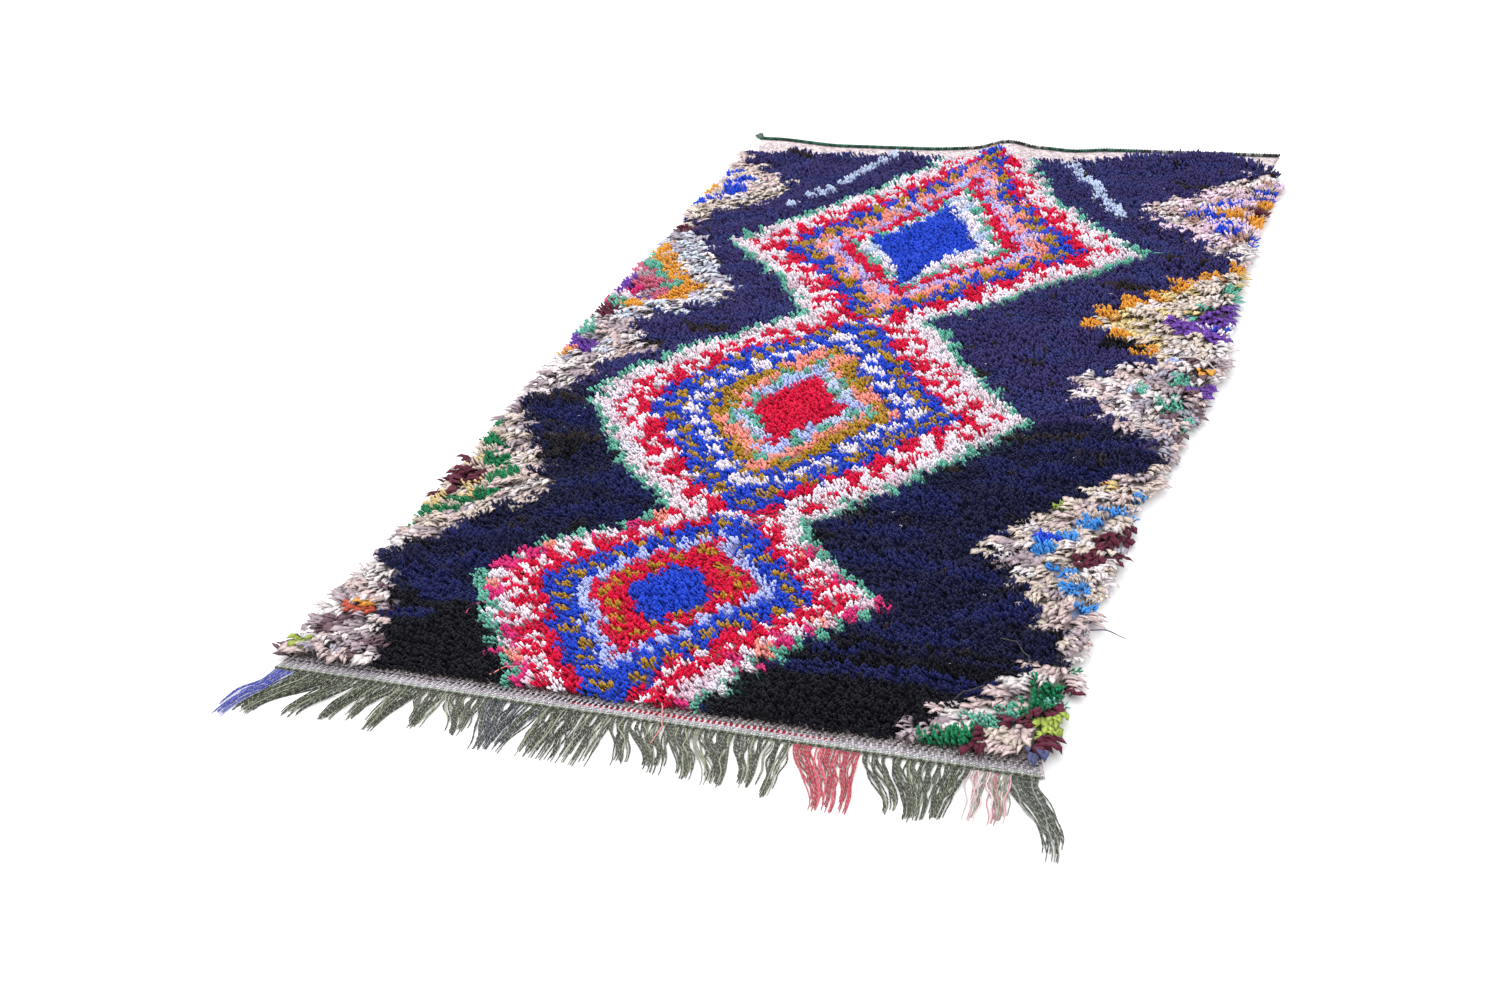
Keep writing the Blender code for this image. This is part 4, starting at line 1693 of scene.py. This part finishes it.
@dataclass
class WovenGround:
    """The handwoven cloth that the knots are tied on, with ribbed bare bands at both ends."""

    columns: int = 150
    rib_pitch: float = 0.0060
    rib_rise: float = 0.0005
    middle_rows: int = 36

    def _rows(self) -> list[float]:
        """Places along the rug of the grid's lines: close together where the ribs show."""
        near = RUG.near_band + 0.010
        far = RUG.woven_length - RUG.far_band - 0.010
        quarter = self.rib_pitch / 4
        rows = list(np.arange(0.0, near, quarter))
        rows += [between(near, far, step / self.middle_rows) for step in range(self.middle_rows)]
        rows += list(np.arange(far, RUG.woven_length, quarter))
        return rows + [RUG.woven_length]

    def build(self) -> bpy.types.Object:
        """Makes the ground as one closed sheet."""
        rows = self._rows()
        points = []
        for level in (0, 1):
            for along in rows:
                left, right = RUG.selvedges(along)
                for column in range(self.columns + 1):
                    across = between(left, right, column / self.columns)
                    bowed = smooth((along - 2.0) / 0.12) * (RUG.woven_length - RUG.far_edge(across))
                    height = RUG.lie(across, along)
                    if level:
                        rib = self.rib_rise * math.cos(math.tau * along / self.rib_pitch)
                        height += RUG.ground_thickness - self.rib_rise + rib
                    points.append(RUG.place(across, along - bowed, height))
        made = mesh_object("woven_ground", slab_mesh("woven_ground", points, self.columns, len(rows) - 1))
        made.data.materials.append(WeftFacedWeave().build())
        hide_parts("ground_weave")
        return made


class TwinedRow(NamedTuple):
    """A row of twining at the near edge: where it lies, how high, and its yarns from place to place."""

    along: float
    lift: float
    runs: tuple[tuple[float, tuple[str, ...]], ...]  # each run's right-hand end, and its yarns in turn


@dataclass
class NearTwining:
    """Rows of two-colour twining that hold the knots and the warp ends at the fringed edge."""

    pitch: float = 0.0044
    shape_count: int = 3
    greys: tuple[str, ...] = ("A9A1AA", "CFC8CE", "8C8590", "D8D2D6")
    whites: tuple[str, ...] = ("D6D2D6", "C4BEC6", "B2ACB6")
    flecked: tuple[str, ...] = ("857A7C", "C6BABA", "4E4446", "CFC5C4", "9C8E90")
    black_white: tuple[str, ...] = ("1C1B24", "E6E2E6")
    red_white: tuple[str, ...] = ("B01A35", "E9DDE2")
    mint: tuple[str, ...] = ("B4BEB4", "C9D0C8", "9AA89C")
    olive: tuple[str, ...] = ("4C5440", "7D826F", "363D2C")

    def _rows(self) -> tuple[TwinedRow, ...]:
        """The rows, from the pile to the fringe."""
        left_dark = (-0.30, ("3A343C", "B7AEB8", "6F6672"))
        return (
            TwinedRow(0.0306, 0.0036, ((0.7, self.flecked),)),
            TwinedRow(0.0270, 0.0036, ((0.7, self.flecked),)),
            TwinedRow(0.0234, 0.0036, ((0.7, self.greys),)),
            TwinedRow(0.0198, 0.0037, (left_dark, (-0.05, self.black_white), (0.7, self.flecked))),
            TwinedRow(
                0.0162,
                0.0038,
                ((-0.14, self.greys), (-0.02, self.black_white), (0.23, self.red_white), (0.7, self.greys)),
            ),
            TwinedRow(0.0126, 0.0038, ((-0.10, self.greys), (0.30, self.red_white), (0.7, self.greys))),
            TwinedRow(0.0090, 0.0038, ((0.7, self.whites),)),
            TwinedRow(0.0052, 0.0037, ((0.7, self.whites),)),
            TwinedRow(0.0014, 0.0034, ((0.7, self.mint),)),
            TwinedRow(-0.0022, 0.0022, ((0.7, self.olive),)),
        )

    def build(self, scatterer: Scatterer) -> bpy.types.Object:
        """Makes the rows as one piece."""
        draw = random.Random(31)
        stitch = Stitch(length=0.0056, girth=0.0034, sides=3)
        shapes = scatterer.shapes("twining_stitch", stitch.mesh, self.shape_count)
        seats = []
        for row in self._rows():
            left, right = RUG.selvedges(max(0.0, row.along))
            count = round((right - left) / self.pitch)
            for number in range(count + 1):
                across = between(left + 0.004, right - 0.004, number / count)
                yarns = next(yarns for end, yarns in row.runs if across < end)
                tint = linear(yarns[number % len(yarns)])
                size = (draw.uniform(0.95, 1.2), draw.uniform(0.9, 1.15), draw.uniform(0.65, 0.9))
                place = RUG.place(across, row.along + draw.uniform(-0.0005, 0.0005), row.lift)
                seats.append(Seat(place, 0.22, size, tint, draw.randrange(self.shape_count)))
        # painted shade, a little darker towards one end of each stitch
        finish = TuftedCloth("Twined wool weft, two colours", painted_root_shade=0.85, uneven=0.14).build()
        play = Play(turn=0.10, tilt=0.05, length=0.06)
        made = scatterer.scatter("near_twining", seats, shapes, finish, play)
        scatterer.clear(shapes)
        return made


class Bunch(NamedTuple):
    """A bunch of the fringe: where its roots start and end, where its tips gather, its length, its dyes."""

    start: float
    end: float
    tip: float
    length: float
    dyes: tuple[str, ...] = ("262C1B", "353B27", "1D2115", "474E3A", "80846F", "22271A")
    gathered: bool = True


@dataclass
class WarpFringe:
    """The fringe: the warp's ends in loose bunches, lying level on the floor."""

    strand_pitch: float = 0.0105
    tip_pitch: float = 0.0046
    yarns_to_strand: int = 5
    radius: float = 0.0013
    steps: int = 11
    waver: float = 0.0062
    aside: float = 0.0058  # how far a yarn's root may lie beside its strand's
    stack: float = 0.0036  # how high a yarn may lie on its neighbours
    blues: tuple[str, ...] = ("343A96", "4A50A6", "2A2F7C", "7A7EB4")
    navies: tuple[str, ...] = ("121428", "191B30", "22253F", "2E3522", "4A4E5A")
    reds: tuple[str, ...] = ("8E1830", "981E38", "A82440", "B8485C")
    pinks: tuple[str, ...] = ("BF8A92", "CBB2B6", "9E626E", "7F8472")
    greys: tuple[str, ...] = ("222822", "363D36", "181C18", "7C8078", "4A5244")

    def _bunches(self) -> tuple[Bunch, ...]:
        """The bunches, from left to right."""
        return (
            Bunch(-0.588, -0.564, -0.622, 0.129, dyes=self.blues),
            Bunch(-0.554, -0.492, -0.586, 0.114),
            Bunch(-0.478, -0.450, -0.512, 0.108),
            Bunch(-0.442, -0.415, -0.455, 0.104),
            Bunch(-0.407, -0.386, -0.416, 0.097),
            Bunch(-0.377, -0.345, -0.376, 0.116),
            Bunch(-0.336, -0.301, -0.313, 0.092),
            Bunch(-0.290, -0.244, -0.244, 0.092),
            Bunch(-0.228, -0.144, -0.182, 0.116, dyes=self.navies),
            Bunch(-0.133, -0.033, -0.082, 0.118, gathered=False),
            Bunch(-0.022, -0.006, 0.020, 0.106),
            Bunch(0.005, 0.050, 0.070, 0.112),
            Bunch(0.062, 0.090, 0.117, 0.110),
            Bunch(0.103, 0.155, 0.165, 0.117),
            Bunch(0.166, 0.210, 0.209, 0.114),
            Bunch(0.225, 0.239, 0.243, 0.125),
            Bunch(0.250, 0.306, 0.322, 0.134, dyes=self.reds),
            Bunch(0.315, 0.336, 0.350, 0.133, dyes=self.reds),
            Bunch(0.354, 0.378, 0.418, 0.118),
            Bunch(0.391, 0.432, 0.446, 0.126),
            Bunch(0.440, 0.491, 0.470, 0.121),
            Bunch(0.502, 0.516, 0.519, 0.107, dyes=self.pinks),
            Bunch(0.526, 0.548, 0.556, 0.111, dyes=self.pinks),
            Bunch(0.562, 0.586, 0.645, 0.161, dyes=self.greys),
            Bunch(0.556, 0.588, 0.636, 0.146, dyes=self.greys),
        )

    def _yarn(self, root: float, tip: float, length: float, dye: str, draw: random.Random) -> YarnPath:
        """One yarn, which wavers a little and lies on the floor or on its neighbours."""
        wave = draw.uniform(-self.waver, self.waver)
        phase = draw.uniform(0, math.tau)
        turns = draw.uniform(0.7, 1.9)
        lift = draw.uniform(0.0, self.stack)
        reach = length * draw.uniform(0.74, 1.0)
        side = draw.uniform(-self.aside, self.aside)
        points = []
        for step in range(self.steps + 1):
            share = step / self.steps
            fade = math.sin(math.pi * min(1.0, share * 1.2))
            sway = wave * math.sin(phase + turns * math.tau * share) * fade
            across = between(root + side, tip + side * 1.2, smooth(share)) + sway
            height = self.radius + 0.0002 + lift * math.sin(math.pi * min(1.0, share + 0.08))
            points.append(RUG.place(across, between(-0.0030, -reach, share), height))
        red, green, blue = linear(dye)
        value = draw.uniform(0.75, 1.2)
        return YarnPath(points, self.radius, self.radius * 0.55, (red * value, green * value, blue * value))

    def build(self, sweeper: Sweeper) -> bpy.types.Object:
        """Makes all the bunches as one piece."""
        draw = random.Random(41)
        yarns = []
        for bunch in self._bunches():
            steps = max(1, round((bunch.end - bunch.start) / self.strand_pitch))
            pitch = self.tip_pitch if bunch.gathered else self.strand_pitch
            first_tip = bunch.tip - pitch * steps / 2
            for number in range(steps + 1):
                root = between(bunch.start, bunch.end, number / steps)
                for _ in range(self.yarns_to_strand):
                    tip = first_tip + number * pitch
                    yarns.append(self._yarn(root, tip, bunch.length, draw.choice(bunch.dyes), draw))
        finish = MarledYarn(undyed_share=0.08).build(len(yarns))
        made = sweeper.sweep("fringe_yarns", yarns, finish)
        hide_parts("warp_fringe")
        return made


@dataclass
class FarEdging:
    """The overcast cord along the far edge, and its frayed loose end past the left corner."""

    radius: float = 0.0036
    pitch: float = 0.0060
    green_end: float = -0.10  # to the left of here the overcasting is dark green, to the right mostly grey
    line_steps: int = 60
    frayed_yarns: int = 24
    shape_count: int = 3
    frayed_steps: int = 6

    def _line(self, across: float) -> Point:
        """The cord's centre."""
        along = RUG.far_edge(across) + 0.0003 + self.radius
        return RUG.place(across, along, RUG.lie(across, RUG.woven_length) + self.radius)

    def _dye(self, across: float, draw: random.Random) -> Colour:
        """The colour of the overcasting here: green runs on the left and right of the fold, grey between."""
        green = across < self.green_end or 0.09 < across < 0.30
        shades = ("2C5444", "386653", "1F3D33") if green else ("3A3F3A", "6D716C", "2A2E2C", "8F9290")
        return linear(draw.choice(shades))

    def _frayed(self, start: Point, draw: random.Random) -> YarnPath:
        """One yarn of the frayed end."""
        angle = math.radians(draw.uniform(108, 148))
        length = draw.uniform(0.026, 0.036)
        lift = draw.uniform(0.0, 0.010)
        points = []
        for step in range(self.frayed_steps + 1):
            share = step / self.frayed_steps
            height = start[2] + lift * math.sin(math.pi * share)
            spread = length * share
            points.append((start[0] + math.cos(angle) * spread, start[1] + math.sin(angle) * spread, height))
        dye = draw.choice(("2F3A38", "4A5A4A", "8A8F8A", "23262B"))
        return YarnPath(points, 0.0015, 0.0008, linear(dye))

    def build(self, scatterer: Scatterer, sweeper: Sweeper) -> list[bpy.types.Object]:
        """Makes the cord with its frayed end, and its wrapping stitches."""
        left, right = RUG.selvedges(RUG.woven_length)
        draw = random.Random(53)
        shares = [step / self.line_steps for step in range(self.line_steps + 1)]
        line = [self._line(between(left, right, share)) for share in shares]
        yarns = [YarnPath(line, self.radius, self.radius, linear("2E4A3C"))]
        for _ in range(self.frayed_yarns):
            yarns.append(self._frayed(self._line(left + draw.uniform(0.0, 0.004)), draw))
        finish = MarledYarn("Overcast wool edging, dark green", undyed="3F5A4C").build(len(yarns))
        cord = sweeper.sweep("far_edging_cord", yarns, finish)
        stitch = Stitch(length=0.0150, girth=0.0068)
        shapes = scatterer.shapes("overcast_stitch", stitch.mesh, self.shape_count)
        seats = []
        count = round((right - left) / self.pitch)
        for number in range(count + 1):
            across = between(left, right, number / count)
            x, y, z = self._line(across)
            dye = self._dye(across, draw)
            place = (x, y - 0.0010, z + 0.0004)
            seats.append(Seat(place, 1.15, (0.95, 1.0, 0.9), dye, draw.randrange(self.shape_count)))
        # painted shade, a little darker towards one end of each stitch
        wool = TuftedCloth("Overcasting yarn, wool", painted_root_shade=0.85, uneven=0.12).build()
        play = Play(turn=0.15, tilt=0.05, length=0.06)
        wraps = scatterer.scatter("far_edging_stitches", seats, shapes, wool, play)
        scatterer.clear(shapes)
        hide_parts("far_edging")
        return [cord, wraps]


class Strand(NamedTuple):
    """A loose thread on the pile: the places that it passes, how high it lies there, and its dye."""

    places: tuple[tuple[float, float, float], ...]  # across, along, and height over the ground
    dye: str
    radius: float = 0.0011


@dataclass
class LooseThreads:
    """Thread ends and lint that lie on the pile."""

    lint: int = 46
    strands: tuple[Strand, ...] = (
        Strand(
            ((0.468, 0.268, 0.024), (0.492, 0.262, 0.027), (0.515, 0.236, 0.025), (0.530, 0.214, 0.022)),
            "141116",
        ),
        Strand(
            ((0.440, 0.118, 0.020), (0.452, 0.132, 0.026), (0.480, 0.150, 0.027), (0.492, 0.146, 0.020)),
            "181318",
        ),
        Strand(((0.585, 0.318, 0.022), (0.610, 0.325, 0.020), (0.640, 0.318, 0.014)), "4A4560"),
        Strand(
            ((0.470, 0.040, 0.022), (0.462, 0.062, 0.026), (0.478, 0.088, 0.025), (0.470, 0.108, 0.022)),
            "7A4A4E",
            0.0007,
        ),
        Strand(((0.040, 0.020, 0.022), (0.052, -0.010, 0.006), (0.050, -0.050, 0.005)), "E08C8C"),
        Strand(((-0.330, 0.205, 0.022), (-0.352, 0.190, 0.025), (-0.350, 0.165, 0.022)), "D8427F"),
        Strand(((0.415, 1.590, 0.022), (0.440, 1.596, 0.025), (0.470, 1.610, 0.022)), "5DBA9C"),
        Strand(((-0.200, 0.060, 0.020), (-0.222, 0.052, 0.024), (-0.240, 0.030, 0.022)), "F29C8E"),
        Strand(
            ((0.560, 1.172, 0.022), (0.585, 1.166, 0.028), (0.612, 1.152, 0.028), (0.628, 1.140, 0.022)),
            "C9BFB8",
            0.0016,
        ),
    )

    @staticmethod
    def _bent(strand: Strand) -> YarnPath:
        """One thread, smoothed through its places."""
        steps = 5
        points = []
        for here, after in zip(strand.places, strand.places[1:]):
            for step in range(steps):
                share = step / steps
                eased = smooth(share)
                across = between(here[0], after[0], share)
                along = between(here[1], after[1], eased)
                height = between(here[2], after[2], share)
                points.append(RUG.place(across, along, max(0.003, RUG.lie(across, along) + height)))
        last = strand.places[-1]
        points.append(RUG.place(last[0], last[1], max(0.003, RUG.lie(last[0], last[1]) + last[2])))
        return YarnPath(points, strand.radius, strand.radius * 0.6, linear(strand.dye))

    @staticmethod
    def _speck(draw: random.Random) -> YarnPath:
        """One short curl of lint, near the top of the pile."""
        across, along = draw.uniform(-0.5, 0.5), draw.uniform(0.08, 2.0)
        height = RUG.ground_top(across, along) + 0.94 * RUG.depth(across, along)
        angle, bend = draw.uniform(0, math.tau), draw.uniform(-1.2, 1.2)
        points = []
        for _ in range(5):
            points.append(RUG.place(across, along, height))
            across += 0.0022 * math.cos(angle)
            along += 0.0022 * math.sin(angle)
            angle += bend
        return YarnPath(points, 0.0005, 0.0004, linear("D8D4DC"))

    def build(self, sweeper: Sweeper) -> bpy.types.Object:
        """Makes all the threads as one piece."""
        draw = random.Random(61)
        yarns = [self._bent(strand) for strand in self.strands]
        yarns += [self._speck(draw) for _ in range(self.lint)]
        finish = MarledYarn("Sewing thread and lint", undyed="4A4448", undyed_share=0.06).build(len(yarns))
        made = sweeper.sweep("loose_threads", yarns, finish)
        return made


@dataclass(frozen=True)
class Studio:
    """A pale floor, soft light from above, and a camera that looks along the rug from its near right."""

    camera_place: Point = (1.142, -2.060, 1.7242)  # across, along and height
    right: Point = (0.9318, 0.3473, -0.1052)
    down: Point = (0.0942, -0.5113, -0.8542)
    ahead: Point = (-0.3505, 0.7861, -0.5092)
    lens: float = 48.95
    floor_colour: str = "F6F6F7"
    sky_strength: float = 1.15

    def _camera(self) -> None:
        """Sets the camera where the photograph was taken from."""
        data = bpy.data.cameras.new("camera")
        data.lens = self.lens
        data.sensor_width = 36.0
        made = bpy.data.objects.new("camera", data)
        axes = Matrix((Vector(self.right), -Vector(self.down), -Vector(self.ahead))).transposed()
        made.matrix_world = Matrix.Translation(RUG.place(*self.camera_place)) @ axes.to_4x4()
        bpy.context.scene.collection.objects.link(made)
        bpy.context.scene.camera = made

    def _floor(self) -> None:
        """Lays the floor."""
        mesh = bpy.data.meshes.new("floor")
        half = 30.0
        corners = [(-half, -half, 0), (half, -half, 0), (half, half, 0), (-half, half, 0)]
        mesh.from_pydata(corners, [], [(0, 1, 2, 3)])
        made = mesh_object("floor", mesh)
        finish, _, shader = new_finish("Studio floor, matt white")
        shader.inputs["Base Color"].default_value = (*linear(self.floor_colour), 1.0)
        shader.inputs["Roughness"].default_value = 0.8
        mesh.materials.append(finish)

    def _light(self, name: str, place: Point, size: float, power: float) -> None:
        """Hangs a square soft light that faces the middle of the rug."""
        data = bpy.data.lights.new(name, "AREA")
        data.size = size
        data.energy = power
        made = bpy.data.objects.new(name, data)
        made.location = place
        made.rotation_euler = (-Vector(place)).to_track_quat("-Z", "Y").to_euler()
        bpy.context.scene.collection.objects.link(made)

    def build(self) -> None:
        """Sets up the whole studio."""
        self._camera()
        self._floor()
        self._light("key_light", (-2.6, 1.6, 4.2), 2.6, 190.0)
        self._light("fill_light", (2.4, -2.8, 3.6), 3.0, 85.0)
        world = bpy.data.worlds.new("studio")
        world.use_nodes = True
        sky = world.node_tree.nodes["Background"]
        sky.inputs["Color"].default_value = (1.0, 1.0, 1.0, 1.0)
        sky.inputs["Strength"].default_value = self.sky_strength
        bpy.context.scene.world = world
        bpy.context.scene.view_settings.view_transform = "Standard"


def main() -> None:
    """Builds the rug piece by piece, and reports each one."""
    logging.basicConfig(level=logging.INFO, format="%(name)s: %(message)s")
    scatterer = Scatterer()
    sweeper = Sweeper()
    Studio().build()
    ground = WovenGround().build()
    pile = KnottedPile().build(scatterer)
    twining = NearTwining().build(scatterer)
    fringe = WarpFringe().build(sweeper)
    edging = FarEdging().build(scatterer, sweeper)
    threads = LooseThreads().build(sweeper)
    attached = [*pile, twining, fringe, *edging, threads]
    for piece in [ground, *attached]:
        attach(piece, "root")
        piece.data.calc_loop_triangles()
        LOG.info("%s: %d triangles", piece.name, len(piece.data.loop_triangles))


if __name__ == "__main__":
    main()
